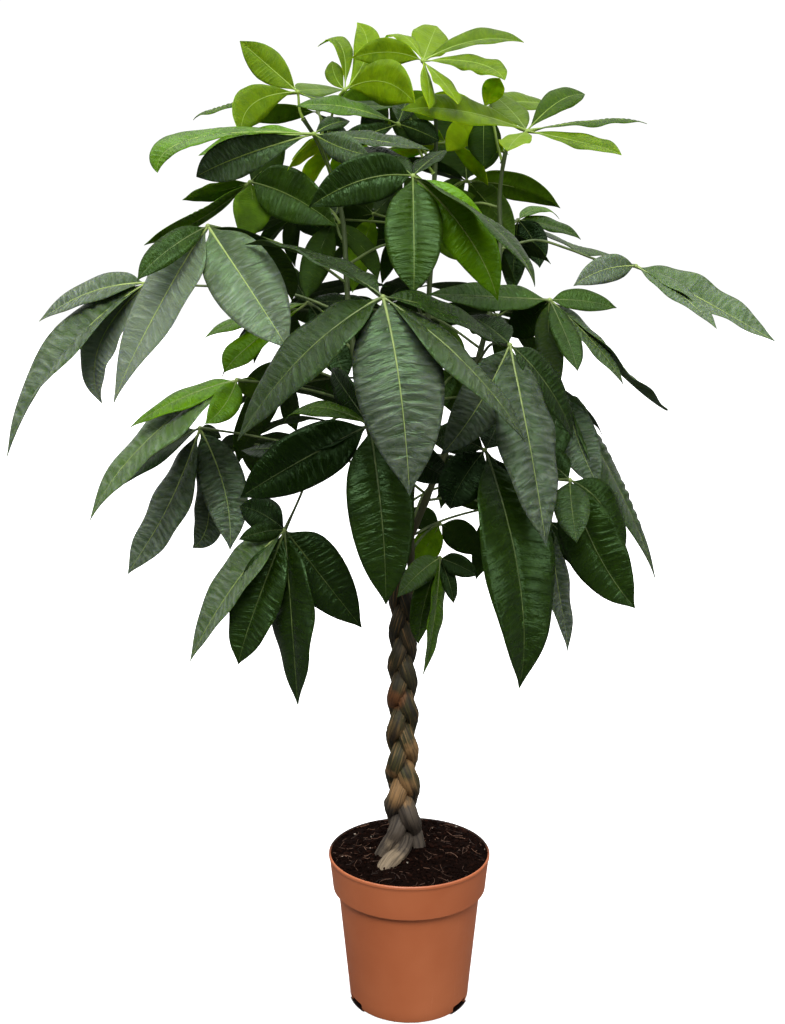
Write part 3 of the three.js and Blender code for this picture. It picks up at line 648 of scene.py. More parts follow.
def bent_rod(template, name, path, radii, grow=None):
    """A rod along the path. Grow may thicken each corner, given its place and its turn round the rod."""
    shape = places_of(template)
    rows = np.rint(shape[:, 2] * (len(path) - 1)).astype(int)
    sides, others = frames_along(path)
    out = shape[:, :1] * sides[rows] + shape[:, 1:2] * others[rows]
    thick = np.asarray(radii)[rows]
    if grow is not None:
        thick = thick * grow(path[rows] + out * thick[:, None], out)
    return copy_at(template, name, path[rows] + out * thick[:, None])


# %% [markdown]
# ## The plaited trunk
#
# The three stems were plaited while they were thin and have grown thick against each other. Their bark has
# shallow dents, swellings and old scars, so the rods are made uneven with noise. They are thicker than the
# solids and swing less from side to side, as fat stems do. Each corner keeps its place on the straight rod,
# so that the bark can run along it.

# %% Bend the strands
STRAND_SWELL = 1.46
FOOT_SWELL = 1.22
PULLED_IN = (0.72, 0.95, 1)
FOOT_TOP = 0.212
SWELLS_OVER = 0.04
PLAITED_OVER = 0.03
PLAIT_RINGS = 29
GRAIN_LENGTH = 44
LUMP_SCALES = (Vector((45, 45, 20)), Vector((210, 210, 90)), Vector((110, 110, 26)))
SLOW_DEPTH, FINE_DEPTH, RIDGE_DEPTH = 0.13, 0.06, 0.2
SCAR_COUNT = 14
SCAR_LENGTH = 0.006
# The limits of a scar's height, bearing and size
SCAR_LIMITS = ((0.21, 0.56), (0, 2 * math.pi), (0.05, 0.16))


def lumps(places, out, scars):
    """How much thicker than round the bark is at each corner."""
    grown = []
    for place, direction in zip(places, out):
        at = Vector(place)
        slow, fine, ridge = (noise.noise(at * scale) for scale in LUMP_SCALES)
        swell = 1 + SLOW_DEPTH * slow + FINE_DEPTH * fine - RIDGE_DEPTH * abs(ridge)
        for height, bearing, size in scars:
            facing = direction[0] * math.cos(bearing) + direction[1] * math.sin(bearing)
            swell += size * max(0, facing) ** 2 * math.exp(-(((at.z - height) / SCAR_LENGTH) ** 2))
        grown.append(swell)
    return np.array(grown)


def spread(values, count):
    """So many values, spread evenly over the given ones."""
    return np.interp(np.linspace(0, 1, count), np.linspace(0, 1, len(values)), values)


def read_rod(node, sides, least):
    mesh = welded(node)
    middles, radii = rod_of(mesh, sides, least)
    mesh.free()
    return np.array(middles), radii


strand_nodes = [f"trunk_strand_{number}" for number in (1, 2, 3)]
strand_rings = [read_rod(node, sides=8, least=10) for node in strand_nodes]
trunk_middle = np.mean([middles[-PLAIT_RINGS:] for middles, _ in strand_rings], axis=0)
strands = []
for number, (middles, radii) in enumerate(strand_rings, 1):
    height = middles[:, 2]
    in_plait = np.clip((height - FOOT_TOP) / PLAITED_OVER, 0, 1)[:, None]
    centre = np.column_stack([np.interp(height, trunk_middle[:, 2], axis) for axis in trunk_middle.T])
    path = smooth_path(middles + (centre - middles) * (1 - np.array(PULLED_IN)) * in_plait, STRAND_RINGS)
    thickness = spread(radii, STRAND_RINGS)
    thickness *= np.interp(path[:, 2], (FOOT_TOP, FOOT_TOP + SWELLS_OVER), (FOOT_SWELL, STRAND_SWELL))
    scars = [[chance.uniform(*limits) for limits in SCAR_LIMITS] for _ in range(SCAR_COUNT)]
    strand = bent_rod(strand_rod, f"bark_{number}", path, thickness, lambda p, o: lumps(p, o, scars))
    grain = places_of(strand_rod) * (1, 1, GRAIN_LENGTH) + number * GRAIN_LENGTH
    strand.data.attributes.new("grain", "FLOAT_VECTOR", "POINT").data.foreach_set("vector", grain.ravel())
    strands.append(strand)

# %% [markdown]
# The bark changes with height. It is dark at the top of the plait, then olive, and grey near the soil.
# Where it has worn thin it is tan, rust or, on the root in front, cream. Its ridges run along each strand.
# Tan painted highlights lie on the crests of the ridges and of the finer strings, and painted shade darkens
# the grooves between the strings.

# %% The bark's finish
BARK_OLIVE = linear(60, 57, 18)
BARK_GREY = linear(80, 70, 58)
# Dark bark colour, also used as painted shade in the grooves between the strings
BARK_DARK_AND_SHADE = linear(26, 17, 8)
# Tan bark colour, also used as painted highlight on the crests of the ridges and strings
BARK_TAN_AND_HIGHLIGHT = linear(150, 114, 70)
BARK_RUST = linear(122, 72, 34)
BARK_CREAM = linear(146, 128, 102)
# Where each worn patch is, in millimetres, its size and its colour
WORN_PATCHES = (
    ((8, -18, 334), 25, BARK_TAN_AND_HIGHLIGHT),
    ((-10, -24, 292), 23, BARK_TAN_AND_HIGHLIGHT),
    ((-22, -18, 408), 20, BARK_RUST),
    ((-24, -44, 203), 26, BARK_CREAM),
)
TAN_FROM = (0.262, 0.285)
OLIVE_FROM = (0.305, 0.262)
bark = Finish("bark", Roughness=0.7)
grain = bark.marked("grain", "Vector")
height = bark.parts(bark.place())["Z"]


def along_strand(scale, stretch):
    return bark.noise(scale, where=bark.stretched(grain, (1, 1, stretch)), roughness=0.62)


ridges = along_strand(1.7, 0.13)
strings = along_strand(4.5, 0.07)
patches = bark.noise(62, upright=0.6, detail=3)
above_foot = bark.between(height, *TAN_FROM)
patched = bark.times(bark.between(patches, 0.54, 0.62, 0, 0.6), bark.between(height, 0.3, 0.4, 1, 0.3))
colour = bark.mix(bark.between(height, *OLIVE_FROM), BARK_OLIVE, BARK_GREY)
for share, over in (
    (bark.times(patched, above_foot), BARK_TAN_AND_HIGHLIGHT),
    # Painted highlight: tan on the crests of the ridges
    (bark.times(bark.between(ridges, 0.54, 0.7, 0, 0.4), above_foot), BARK_TAN_AND_HIGHLIGHT),
    (bark.between(height, 0.33, 0.5, 0.08, 0.5), BARK_DARK_AND_SHADE),
    # Painted shade: dark in the grooves between the strings
    (bark.between(strings, 0.53, 0.4, 0, 0.8), BARK_DARK_AND_SHADE),
    # Painted highlight: tan on the crests of the strings
    (bark.times(bark.between(strings, 0.56, 0.66, 0, 0.65), above_foot), BARK_TAN_AND_HIGHLIGHT),
):
    colour = bark.mix(share, colour, over)
frayed = bark.between(patches, 0.3, 0.7, 1.4, 0.6)
for place, size, worn in WORN_PATCHES:
    away = bark.times(bark.away_from(Vector(place) * MM), frayed)
    near = bark.between(away, size * MM, size * 0.55 * MM, 0, 0.75)
    near = bark.times(near, bark.between(strings, 0.4, 0.52, 0.45, 1))
    colour = bark.mix(near, colour, worn)
speckle = bark.noise(900, detail=3)
bark.paint(bark.mix(bark.between(speckle, 0.62, 0.72, 0, 0.4), colour, BARK_DARK_AND_SHADE))
bark.relief((ridges, 0.9, 3.2), (strings, 0.7, 1.2), (speckle, 0.3, 0.3))
for node, strand in zip(strand_nodes, strands):
    strand.data.materials.append(bark.material)
    settle(strand, "bark", node)

# %% [markdown]
# ## The green stems
#
# Above the plait each stem goes on as a green shoot that has not made bark yet, with a swollen node
# wherever a leaf stalk leaves it.

# %% Bend the green stems
NODE_SWELL = 0.22
NODE_REACH = 9 * MM
NODE_LENGTH = 7 * MM
SUNK_IN_PLAIT = 8 * MM
STEM_THICKNESS = 0.85
joints = np.array([leaf["stalk"][0] for leaf in plan.values()])
stems = {}
for node in ("green_stem_1", "green_stem_2", "green_stem_3"):
    middles, radii = read_rod(node, sides=6, least=8)
    path, radii = smooth_path(middles, STEM_RINGS), spread(radii, STEM_RINGS)
    for joint in joints:
        away = np.linalg.norm(path - joint, axis=1)
        if away.min() < NODE_REACH:
            radii *= 1 + NODE_SWELL * np.exp(-((away / NODE_LENGTH) ** 2))
    path = smooth_path(np.vstack([path[0] - (0, 0, SUNK_IN_PLAIT), path]), STEM_RINGS)
    stems[node] = bent_rod(stem_rod, node.replace("green", "shoot"), path, radii * STEM_THICKNESS)

# %% The stems' finish
SHOOT_GREEN = linear(58, 74, 28)
SHOOT_BROWN = linear(66, 56, 34)
shoot = Finish("shoot", Roughness=0.5)
streaks = shoot.noise(130, upright=0.12, detail=5)
woody = shoot.between(shoot.parts(shoot.place())["Z"], 0.55, 0.95, 0.75, -0.1)
woody = shoot.math("ADD", woody, shoot.between(streaks, 0.3, 0.7, -0.3, 0.3))
shoot.paint(shoot.mix(woody, SHOOT_GREEN, SHOOT_BROWN))
shoot.relief((streaks, 0.35, 0.5))
for node, stem in stems.items():
    stem.data.materials.append(shoot.material)
    settle(stem, "green_stem", node)

# %% [markdown]
# ## The blade of a leaflet
#
# A leaflet is narrow at its foot, widest past its middle and ends in a drawn-out tip. Its side veins run
# forwards at a slant, and the blade bulges up between them like a quilt. No operator can lay rows of corners
# along slanting veins, so a flat grid is shaped in code: its rows become the veins and the ridges between
# them. There are three blades: broad, slender and young. Large leaflets get a finer grid than small ones.

# %% Model the blades
VEINS = 20
SLANT = 0.045
COLUMNS = {
    "fine": (-1, -0.86, -0.62, -0.36, -0.14, 0, 0.14, 0.36, 0.62, 0.86, 1),
    "plain": (-1, -0.66, -0.28, 0, 0.28, 0.66, 1),
}
ROWS_PER_VEIN = {"fine": 3, "plain": 2}
OUTLINES = {
    "broad": (
        (0, 0.03, 0.06, 0.1, 0.15, 0.2, 0.27, 0.35, 0.43, 0.52, 0.61, 0.7, 0.78, 0.85, 0.91, 0.95, 0.98, 1),
        (0.02, 0.03, 0.12, 0.36, 0.6, 0.78, 0.91, 0.98, 1, 0.98, 0.91, 0.79, 0.64, 0.46, 0.26, 0.12, 0.05, 0),
    ),
    "slender": (
        (0, 0.03, 0.08, 0.14, 0.2, 0.28, 0.38, 0.5, 0.62, 0.74, 0.82, 0.88, 0.93, 0.97, 1),
        (0.03, 0.03, 0.05, 0.2, 0.42, 0.66, 0.86, 0.97, 1, 0.95, 0.83, 0.61, 0.34, 0.14, 0),
    ),
    "young": (
        (0, 0.03, 0.07, 0.12, 0.2, 0.3, 0.42, 0.54, 0.64, 0.74, 0.83, 0.9, 0.95, 0.98, 1),
        (0.03, 0.03, 0.05, 0.2, 0.44, 0.7, 0.9, 1, 0.97, 0.84, 0.62, 0.38, 0.19, 0.08, 0),
    ),
}
QUILT_ACROSS = ((0, 0.08, 0.25, 0.5, 0.85, 1), (0, 0.5, 1, 1, 0.45, 0))
QUILT_DEPTH = 0.02
ROUNDED_OVER = (-0.015, 0, 0.015)


def outline_width(outline, s):
    widths = [np.interp(np.clip(s + step, 0, 1), *OUTLINES[outline]) for step in ROUNDED_OVER]
    return np.mean(widths, axis=0) * (s < 1)


def model_blade(outline, grade):
    columns, rows = len(COLUMNS[grade]) - 1, VEINS * ROWS_PER_VEIN[grade]
    bpy.ops.mesh.primitive_grid_add(x_subdivisions=columns, y_subdivisions=rows, size=1)
    blade = bpy.context.object
    blade.name = f"{outline}_{grade}_blade"
    grid = places_of(blade)
    share = np.array(COLUMNS[grade])[np.rint((grid[:, 0] + 0.5) * columns).astype(int)]
    row = np.rint((grid[:, 1] + 0.5) * rows).astype(int)
    s = row / rows
    s = s + SLANT * np.abs(share) * outline_width(outline, s)
    width = outline_width(outline, s)
    bulge = np.sin(np.pi * (row / ROWS_PER_VEIN[grade] % 1))
    quilt = QUILT_DEPTH * bulge * np.interp(np.abs(share), *QUILT_ACROSS) * width
    grid = np.column_stack([share * width / 2, s, quilt])
    blade.data.vertices.foreach_set("co", grid.ravel())
    blade.data.update()
    select_only(blade)
    bpy.ops.object.shade_smooth()
    print(f"{blade.name}: {columns} by {rows}")
    return blade


blades = {(outline, grade): model_blade(outline, grade) for outline in OUTLINES for grade in COLUMNS}

# %% [markdown]
# Each copy is bent along its leaflet's curve. The blade opens in a shallow V, droops at its margins, waves a
# little along them, twists and sways, and its tip curls, each by its own seeded draw.

# %% Bend a leaflet
WHIMS = {
    "fold": (0.05, 0.2), "droop": (0.04, 0.15), "wave": (0.015, 0.05), "waves": (1.6, 3.4), "phase": (0, 1),
    "curl": (-0.01, 0.03), "sway": (-0.012, 0.012), "twist": (-0.25, 0.25), "pucker": (0, 100),
}
CURLS_FROM = 0.72


def bent(shape, leaflet, whims):
    """Places on a leaflet. Shape holds offsets across and above it, in metres, and the share along it."""
    across, s, above = shape[:, 0], shape[:, 1], shape[:, 2]
    t = s[:, None]
    hub, bend, tip, width = (leaflet[part] for part in ("hub", "bend", "tip", "width"))
    length = np.linalg.norm(tip - hub)
    spine = (1 - t) ** 2 * hub + 2 * t * (1 - t) * bend + t**2 * tip
    tangent = unit(2 * (1 - t) * (bend - hub) + 2 * t * (tip - bend))
    ups = np.column_stack([np.interp(s, RING_SHARES[::-1], axis) for axis in leaflet["ups"].T])
    ups = unit(ups - tangent * np.sum(ups * tangent, axis=1, keepdims=True))
    rights = np.cross(tangent, ups)
    turn = (whims["twist"] * (s - 0.5))[:, None]
    up, right = ups * np.cos(turn) - rights * np.sin(turn), rights * np.cos(turn) + ups * np.sin(turn)
    reach = across / (width / 2)
    side = np.sign(np.rint(reach * 1000))
    pucker = np.array([noise.noise(Vector((a * 9, b * 1.7, whims["pucker"]))) for a, b in zip(s, side)])
    above = above * np.clip(1 + 1.5 * pucker, 0.1, 2)
    ripple = whims["wave"] * np.sin(2 * np.pi * (whims["waves"] * s + whims["phase"]) + reach)
    lift = width * (whims["fold"] * np.abs(reach) + (ripple - whims["droop"]) * reach**2)
    lift -= length * whims["curl"] * np.clip((s - CURLS_FROM) / (1 - CURLS_FROM), 0, 1) ** 2
    sway = length * whims["sway"] * np.sin(np.pi * s) * s
    return spine + right * (across + sway)[:, None] + up * (above + lift)[:, None]


# %% [markdown]
# ## Leaf finishes
#
# The upper side is dark green, with a grey painted sheen, a painted reflection, that is strongest on the
# ridges between the side veins and on the leaflets that catch the most light, and weaker near each leaflet's
# foot. The lower side is duller and more olive. Young leaves are bright yellow-green and less glossy. How
# light each leaflet is and how much painted sheen it has come from two attributes of the mesh, tone and
# wax, so a few materials serve them all.

# %% The blades' finishes
GREEN_SHEEN = (0.55, 1, 0.45, 1)
LIGHT_THROUGH = {"Subsurface_Radius": (0.7, 1, 0.08), "Subsurface_Scale": 1.2 * MM}


def blade_finish(name, painted_sheen, dark, light, vein, gloss, roughness, wrinkle, thinness):
    shine = {"Specular_IOR_Level": gloss, "Specular_Tint": GREEN_SHEEN}
    skin = Finish(name, Subsurface_Weight=thinness, **shine, **LIGHT_THROUGH)
    uv = skin.add("UVMap")
    across, along = (skin.parts(uv)[axis] for axis in "XY")
    reach = skin.math("ABSOLUTE", skin.math("SUBTRACT", across, 0.5))
    wander = skin.drift(1, -0.03, 0.03, where=skin.stretched(uv, (3, 9, 1)), detail=2)
    from_vein = skin.math("PINGPONG", skin.times(skin.math("ADD", along, wander), VEINS), 0.5)
    veins = skin.between(from_vein, 0, 0.12, 1, 0)
    veins = skin.times(veins, skin.between(reach, 0.1, 0.48, 0.8, 0.15))
    # The tone is partly the leaflet's own green and partly painted light and shade
    share = skin.times(skin.drift(60, 0.65, 1.35), skin.marked("tone"))
    colour = skin.mix(share, linear(*dark), linear(*light))
    colour = skin.mix(skin.times(veins, 0.18), colour, linear(*vein))
    # Painted sheen: a grey painted reflection, stronger on the folds and on the ridges between the veins,
    # weaker near the leaflet's foot
    wax = skin.marked("wax")
    folds = skin.noise(1, where=skin.stretched(uv, (3.2, VEINS * 1.6, 1)), detail=3, distortion=0.6)
    caught = skin.between(folds, 0.35, 0.65, 0.35, 1)
    caught = skin.times(caught, skin.between(from_vein, 0.05, 0.4, 0.55, 1))
    caught = skin.math("MAXIMUM", caught, skin.between(wax, 0.45, 1))
    caught = skin.times(caught, skin.between(along, 0.1, 0.5, 0.5, 1))
    colour = skin.mix(skin.times(wax, caught), colour, linear(*painted_sheen))
    skin.paint(colour, skin.drift(45, *roughness))
    net = {"Vector": skin.stretched(uv, (22, VEINS * 5, 1)), "Scale": 1}
    veinlets = skin.between(skin.add("TexVoronoi", 0, net, feature="DISTANCE_TO_EDGE"), 0, 0.16)
    skin.relief((folds, wrinkle, 2.6), (veins, -0.4, 0.8), (veinlets, 0.2, 0.2))
    return skin.material


# The colours of the painted sheen, old and young
PAINTED_SHEEN = {"old": (148, 160, 144), "young": (140, 168, 96)}
# The dark, light and vein colours, the gloss, the range of roughness, the wrinkle and the thinness
BLADE_LOOKS = {
    "old_above": ((6, 20, 0), (88, 130, 0), (64, 92, 30), 0.32, (0.22, 0.34), 0.8, 0.3),
    "old_below": ((20, 38, 0), (106, 146, 2), (100, 124, 40), 0.2, (0.55, 0.7), 0.35, 0.5),
    "young_above": ((26, 56, 0), (108, 136, 0), (120, 146, 8), 0.2, (0.4, 0.55), 0.5, 0.6),
    "young_below": ((50, 88, 0), (178, 208, 10), (160, 190, 20), 0.1, (0.6, 0.7), 0.3, 0.95),
}
BLADES = {}
for name, look in BLADE_LOOKS.items():
    age = name.split("_")[0]
    BLADES.setdefault(age, []).append(blade_finish(name, PAINTED_SHEEN[age], *look))

PALE_RIB = linear(176, 198, 112)
YOUNG_RIB = linear(140, 168, 60)
STALK_GREEN = linear(62, 80, 30)
rib = Finish("pale_rib", Roughness=0.45)
pallor = rib.math("ADD", rib.drift(90, -0.15, 0.15), rib.marked("pallor"))
rib.paint(rib.mix(rib.marked("youth"), rib.mix(pallor, STALK_GREEN, PALE_RIB), YOUNG_RIB))
rib.relief((rib.noise(400, upright=0.3), 0.2, 0.3))
print("blade finishes:", ", ".join(BLADE_LOOKS))

# %% [markdown]
# ## The leaves
#
# Leaves age one by one, and each leaflet catches the light in its own way. So each leaflet's look has a
# word, which stands for its tone and its painted sheen. The tone is partly the leaflet's own green and partly
# painted light and shade. A leaf is found by its number, and its words go clockwise round its hub from the
# left, as seen from the front. Leaves with no words of their own are dark.

# %% The look of each leaflet
# Each word is a tone, partly painted light and shade, and an amount of painted sheen
LOOK = {
    "ink": (0, 0), "dark": (0.05, 0.02), "deep": (0.16, 0.03), "olive": (0.3, 0.02), "leafy": (0.6, 0.02),
    "fresh": (1, 0), "satin": (0.1, 0.14), "dim": (0.05, 0.42), "soft": (0.16, 0.25), "sheen": (0.08, 0.5),
    "grey": (0.12, 0.6), "sage": (0.3, 0.5), "mint": (0.5, 0.4), "ash": (0.2, 0.7), "pale": (0.26, 0.86),
}
USUAL = "dark"
LOOKS = {
    1: "dark dark soft dim satin", 2: "dark dark deep fresh deep dark", 3: "dark dark leafy deep",
    4: "fresh leafy deep deep leafy fresh", 5: "fresh fresh leafy leafy fresh", 6: "leafy leafy fresh",
    7: "leafy dark", 8: "leafy mint dark leafy deep", 9: "dark satin soft soft leafy fresh",
    10: "dark olive leafy leafy olive", 11: "dark ash pale deep", 12: "dark pale ash",
    13: "leafy leafy mint fresh", 14: "dark grey dim grey ink", 15: "ink dark dark dark sage dark",
    16: "ink dark dark ink ink olive", 17: "ink dark dim sheen", 18: "deep deep grey soft deep soft ink",
    19: "sage sage ash", 20: "deep satin dim dark", 21: "dark dark dark dark ink", 22: "dark dark grey dark",
    23: "dark dark dark satin", 24: "dark dark leafy olive mint", 25: "dark dark fresh",
    26: "fresh olive olive ink dark", 27: "dark dark ink fresh", 28: "dark dark leafy dark",
    30: "leafy leafy dark dark leafy", 31: "leafy dark leafy", 32: "leafy leafy dark leafy",
    33: "deep olive olive deep", 34: "deep dark deep", 49: "leafy", 50: "leafy",
}


def looks_of(number, count):
    """A tone and a painted sheen for each leaflet. A leaf's last word stands for the rest of its leaflets."""
    words = LOOKS.get(number, USUAL).split()
    words += words[-1:] * (count - len(words))
    return [LOOK[word] for word in words]


def mark(piece, **values):
    for name, value in values.items():
        layer = piece.data.attributes.new(name, "FLOAT", "POINT")
        layer.data.foreach_set("value", np.full(len(piece.data.vertices), value))


# %% [markdown]
# A leaf is one piece: its stalk, the knot where the leaflets meet, and each leaflet with the rib that runs
# on from its own short stalk. The blades are sheets until they are all in place, and then get their
# thickness, which leaves the lower side with a finish of its own.

# %% Grow the leaflets
LARGE_LEAFLET = 115 * MM
SLENDER = 0.3
YOUNG_OUTLINE = 0.6
USUAL_LENGTH = 130 * MM
RIB_ENDS = 0.95
RIB_SUNK = 0.2
RIB_RADII = ((0, 0.06, 0.12, 0.4, 0.8, 1), (1.4, 1.15, 0.9, 0.62, 0.34, 0.15))
RIB_VARIES = (0.6, 1.4)
QUILT_VARIES = (0.6, 1.7)
TONE_VARIES, TONE_ADDS = (0.75, 1.2), (0, 0.03)
SHEEN_PAINT_VARIES = (0.8, 1.1)


def grow_leaflet(leaflet, youth, tone, wax):
    length, width = np.linalg.norm(leaflet["tip"] - leaflet["hub"]), leaflet["width"]
    whims = {name: chance.uniform(*limits) for name, limits in WHIMS.items()}
    outline = "young" if youth > YOUNG_OUTLINE else "slender" if width < SLENDER * length else "broad"
    sheet = blades[outline, "fine" if length > LARGE_LEAFLET else "plain"]
    shape = places_of(sheet) * (width, 1, width * chance.uniform(*QUILT_VARIES))
    blade = copy_at(sheet, "blade", bent(shape, leaflet, whims))
    shape = places_of(rib_rod)
    s = shape[:, 2] * RIB_ENDS
    thick = np.interp(s, *RIB_RADII) * MM * np.clip(length / USUAL_LENGTH, *RIB_VARIES)
    shape = np.column_stack([shape[:, 0] * thick, s, (shape[:, 1] - RIB_SUNK) * thick])
    ribs = copy_at(rib_rod, "rib", bent(shape, leaflet, whims))
    tone = tone * chance.uniform(*TONE_VARIES) + chance.uniform(*TONE_ADDS)
    # The blade is marked with its tone, which holds painted light and shade, and with its painted sheen
    mark(blade, tone=tone, wax=wax * chance.uniform(*SHEEN_PAINT_VARIES))
    # The rib is paler on leaflets with more tone and painted sheen, so its pallor is partly painted light
    mark(ribs, youth=youth, pallor=tone / 2 + wax)
    return blade, ribs


def clockwise_from_left(leaf):
    """The leaflets in their order round the hub, as seen from the front."""

    def turn(leaflet):
        across, _, up = leaflet["tip"] - leaf["hub"]
        return math.atan2(up, -across) % (2 * math.pi)

    return sorted(leaf["leaflets"], key=turn)


# %% Grow the leaves
YOUNG_FROM_TO = (0.98, 1.16)
YOUNG_HEIGHT = 1.08
MATURED = (7, 9, 30, 31)
BLADE_THICKNESS = 0.6 * MM
STALK_SUNK = 3 * MM
STALK_RADII = ((0, 0.05, 0.12, 0.9, 0.97, 1), (3.2, 2.8, 1.8, 1.45, 2.2, 2.6))
KNOT_RADIUS = 2.9 * MM
STALK_PALLOR, KNOT_PALLOR = 0.1, 0.6


def grow_leaf(node, leaf):
    height = leaf["hub"][2]
    youth = float(np.interp(height, YOUNG_FROM_TO, (0, 1)))
    is_young = height > YOUNG_HEIGHT
    number, leaflets = int(node[-2:]), clockwise_from_left(leaf)
    looks = looks_of(number, len(leaflets))
    sheets, ribs = zip(*[grow_leaflet(leaflet, youth, *look) for leaflet, look in zip(leaflets, looks)])
    blade = join("blade", sheets)
    for side in BLADES["young" if is_young and number not in MATURED else "old"]:
        blade.data.materials.append(side)
    sides = {"material_offset": 1, "material_offset_rim": 1}
    apply_modifier(blade, "SOLIDIFY", thickness=BLADE_THICKNESS, offset=-1, **sides)
    start, second = (np.array(place) for place in leaf["stalk"][:2])
    inward = start + unit(start - second) * STALK_SUNK
    path = smooth_path([inward, *leaf["stalk"], leaf["hub"]], STALK_RINGS)
    radii = np.interp(np.linspace(0, 1, STALK_RINGS), *STALK_RADII) * MM
    stalk = bent_rod(stalk_rod, "stalk", path, radii)
    mark(stalk, youth=youth, pallor=STALK_PALLOR)
    bpy.ops.mesh.primitive_ico_sphere_add(subdivisions=2, radius=KNOT_RADIUS, location=leaf["hub"])
    knot = bpy.context.object
    mark(knot, youth=youth, pallor=KNOT_PALLOR)
    stalks = join("stalks", [stalk, knot, *ribs])
    freeze(stalks)
    bpy.ops.object.shade_smooth()
    stalks.data.materials.append(rib.material)
    piece = join(node.replace("leaf", "palmate_leaf"), [blade, stalks])
    settle(piece, "young_leaf" if is_young else "mature_leaf", node)


for node, leaf in plan.items():
    grow_leaf(node, leaf)
for template in (*blades.values(), strand_rod, stem_rod, stalk_rod, rib_rod):
    bpy.data.objects.remove(template)

# %% [markdown]
# ## The soil
#
# Potting soil is dark peat, heaped a little towards the trunk. It fills the pot, so its side follows the
# pot's inner wall. Its top is inset ring by ring and pushed up and down by noise. Crumbs, a few pale grains
# and fibres lie on it.

# %% Fill the pot with soil
SOIL_RADIUS = 102.1
SOIL_EDGE = 196
SOIL_RINGS = [(75, 10.6), (89.2, 148.6), (96.2, 156.2), (SOIL_RADIUS, SOIL_EDGE)]
SOIL_SIDES = 120
SOIL_INSETS = 22
SOIL_MOUND = 8
SOIL_ROUGH = 2.6
SOIL_FINE = 0.7
soil = turned("potting_soil", SOIL_SIDES, SOIL_RINGS)
bpy.ops.mesh.select_mode(type="FACE")
for _ in range(SOIL_INSETS):
    bpy.ops.mesh.inset(thickness=SOIL_RADIUS * MM / (SOIL_INSETS + 1.5))
bpy.ops.mesh.poke()
finish_faces()


def soil_height(x, y):
    out = min(1, math.hypot(x, y) / (SOIL_RADIUS * MM))
    rough = noise.fractal(Vector((x * 70, y * 70, 3.1)), 0.9, 2.1, 5) * (1.05 - out**6)
    fine = noise.noise(Vector((x * 420, y * 420, 8.4)))
    return (SOIL_EDGE + SOIL_MOUND * (1 - out**2.2) + SOIL_ROUGH * rough + SOIL_FINE * fine) * MM


for corner in soil.data.vertices:
    if corner.co.z > (SOIL_EDGE - 1) * MM:
        corner.co.z = soil_height(corner.co.x, corner.co.y)
select_only(soil)
bpy.ops.object.shade_smooth()

# %% Crumbs and pale grains
CRUMBS = {"count": 1500, "sizes": (1.0, 2.6), "flat": 0.8, "sink": 0.15}
GRAINS = {"count": 18, "sizes": (0.7, 1.3), "flat": 0.9, "sink": 0.4}
SQUEEZE = ((0.6, 1.4), (0.6, 1.4), (0.5, 1))
SCATTER_RADIUS = SOIL_RADIUS * 0.985 * MM


def spot():
    """A place on the soil, each as likely as any other."""
    out = SCATTER_RADIUS * math.sqrt(chance.random())
    turn = chance.uniform(0, 2 * math.pi)
    return out * math.cos(turn), out * math.sin(turn)


bpy.ops.mesh.primitive_ico_sphere_add(subdivisions=1, radius=1)
crumb = bpy.context.object
round_crumb = places_of(crumb)


def scatter(count, sizes, flat, sink):
    """Copies of the crumb, each squeezed and turned its own way, resting in the soil's top."""
    pieces = []
    for _ in range(count):
        x, y = spot()
        size = chance.uniform(*sizes) * MM * (0.5 + chance.random())
        squeeze = np.array([chance.uniform(*limits) for limits in SQUEEZE]) * (1, 1, flat)
        jitter = np.array([[chance.uniform(0.72, 1.2)] for _ in round_crumb])
        turn = np.array(Matrix.Rotation(chance.uniform(0, 2 * math.pi), 3, "Z"))
        places = (round_crumb * jitter * squeeze * size) @ turn
        piece = copy_at(crumb, "crumb", places + (x, y, soil_height(x, y) + size * sink))
        mark(piece, tone=chance.random())
        pieces.append(piece)
    return pieces


crumbs = join("soil_crumbs", scatter(**CRUMBS))
grains = join("pale_grains", scatter(**GRAINS))
bpy.data.objects.remove(crumb)

# %% Fibres
FIBRES = 130
FIBRE_RINGS = 7
FIBRE_PLACES = 4
FIBRE_LENGTH = (7, 24)
FIBRE_BEND = 1.2
FIBRES_INSIDE = SOIL_RADIUS * 0.98 * MM
fibre_rod = straight_rod("straight_fibre", 3, FIBRE_RINGS)


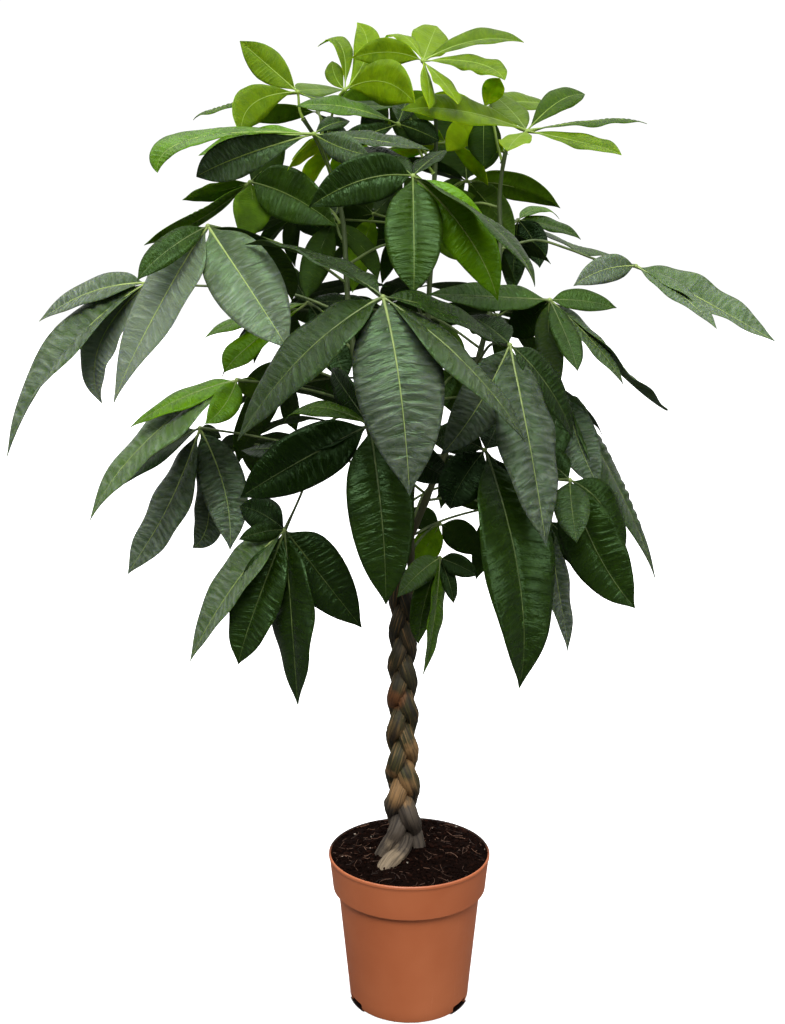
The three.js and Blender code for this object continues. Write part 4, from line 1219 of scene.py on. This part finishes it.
def lay_fibre():
    x, y = spot()
    turn, length = chance.uniform(0, 2 * math.pi), chance.uniform(*FIBRE_LENGTH) * MM
    bend = chance.uniform(-FIBRE_BEND, FIBRE_BEND)
    points = []
    for share in np.linspace(0, 1, FIBRE_PLACES):
        angle, reach = turn + bend * share, length * share
        at = np.array([x + reach * math.cos(angle), y + reach * math.sin(angle)])
        at *= min(1, FIBRES_INSIDE / max(1e-6, math.hypot(*at)))
        points.append((*at, soil_height(*at) + chance.uniform(0.3, 1.6) * MM))
    thickness = np.linspace(1, 0.4, FIBRE_RINGS) * chance.uniform(0.25, 0.6) * MM
    fibre = bent_rod(fibre_rod, "fibre", smooth_path(points, FIBRE_RINGS), thickness)
    mark(fibre, tone=chance.random())
    return fibre


fibres = join("soil_fibres", [lay_fibre() for _ in range(FIBRES)])
bpy.data.objects.remove(fibre_rod)

# %% The soil's finishes
PEAT_DARK = linear(4, 1, 0)
PEAT = linear(18, 8, 5)
PEAT_RED = linear(50, 28, 20)
STRAW = linear(112, 80, 60)
GRAIN_DULL, GRAIN_PALE = linear(120, 108, 94), linear(176, 166, 150)
peat = Finish("peat", Roughness=0.95, Specular_IOR_Level=0.04)
clods = peat.noise(150, detail=8, roughness=0.7)
bits = peat.noise(700, detail=3)
colour = peat.mix(peat.between(clods, 0.35, 0.62), PEAT_DARK, PEAT)
colour = peat.mix(peat.between(bits, 0.58, 0.7, 0, 0.7), colour, PEAT_RED)
peat.paint(peat.mix(peat.between(peat.marked("tone"), 0.6, 1, 0, 0.45), colour, PEAT_RED))
peat.relief((clods, 0.8, 2.5), (bits, 0.6, 0.8))
straw = Finish("fibre", Roughness=0.85)
straw.paint(straw.mix(straw.marked("tone"), PEAT, STRAW))
straw.relief((straw.noise(600), 0.3, 0.3))
perlite = Finish("pale_grain", Roughness=0.9)
perlite.paint(perlite.mix(perlite.noise(500), GRAIN_DULL, GRAIN_PALE))
perlite.relief((perlite.noise(1200), 0.4, 0.3))
for piece, finish in ((soil, peat), (crumbs, peat), (fibres, straw), (grains, perlite)):
    piece.data.materials.append(finish.material)
settle(soil, "potting_soil", "soil")
for piece in (crumbs, fibres, grains):
    settle(piece, "potting_soil")
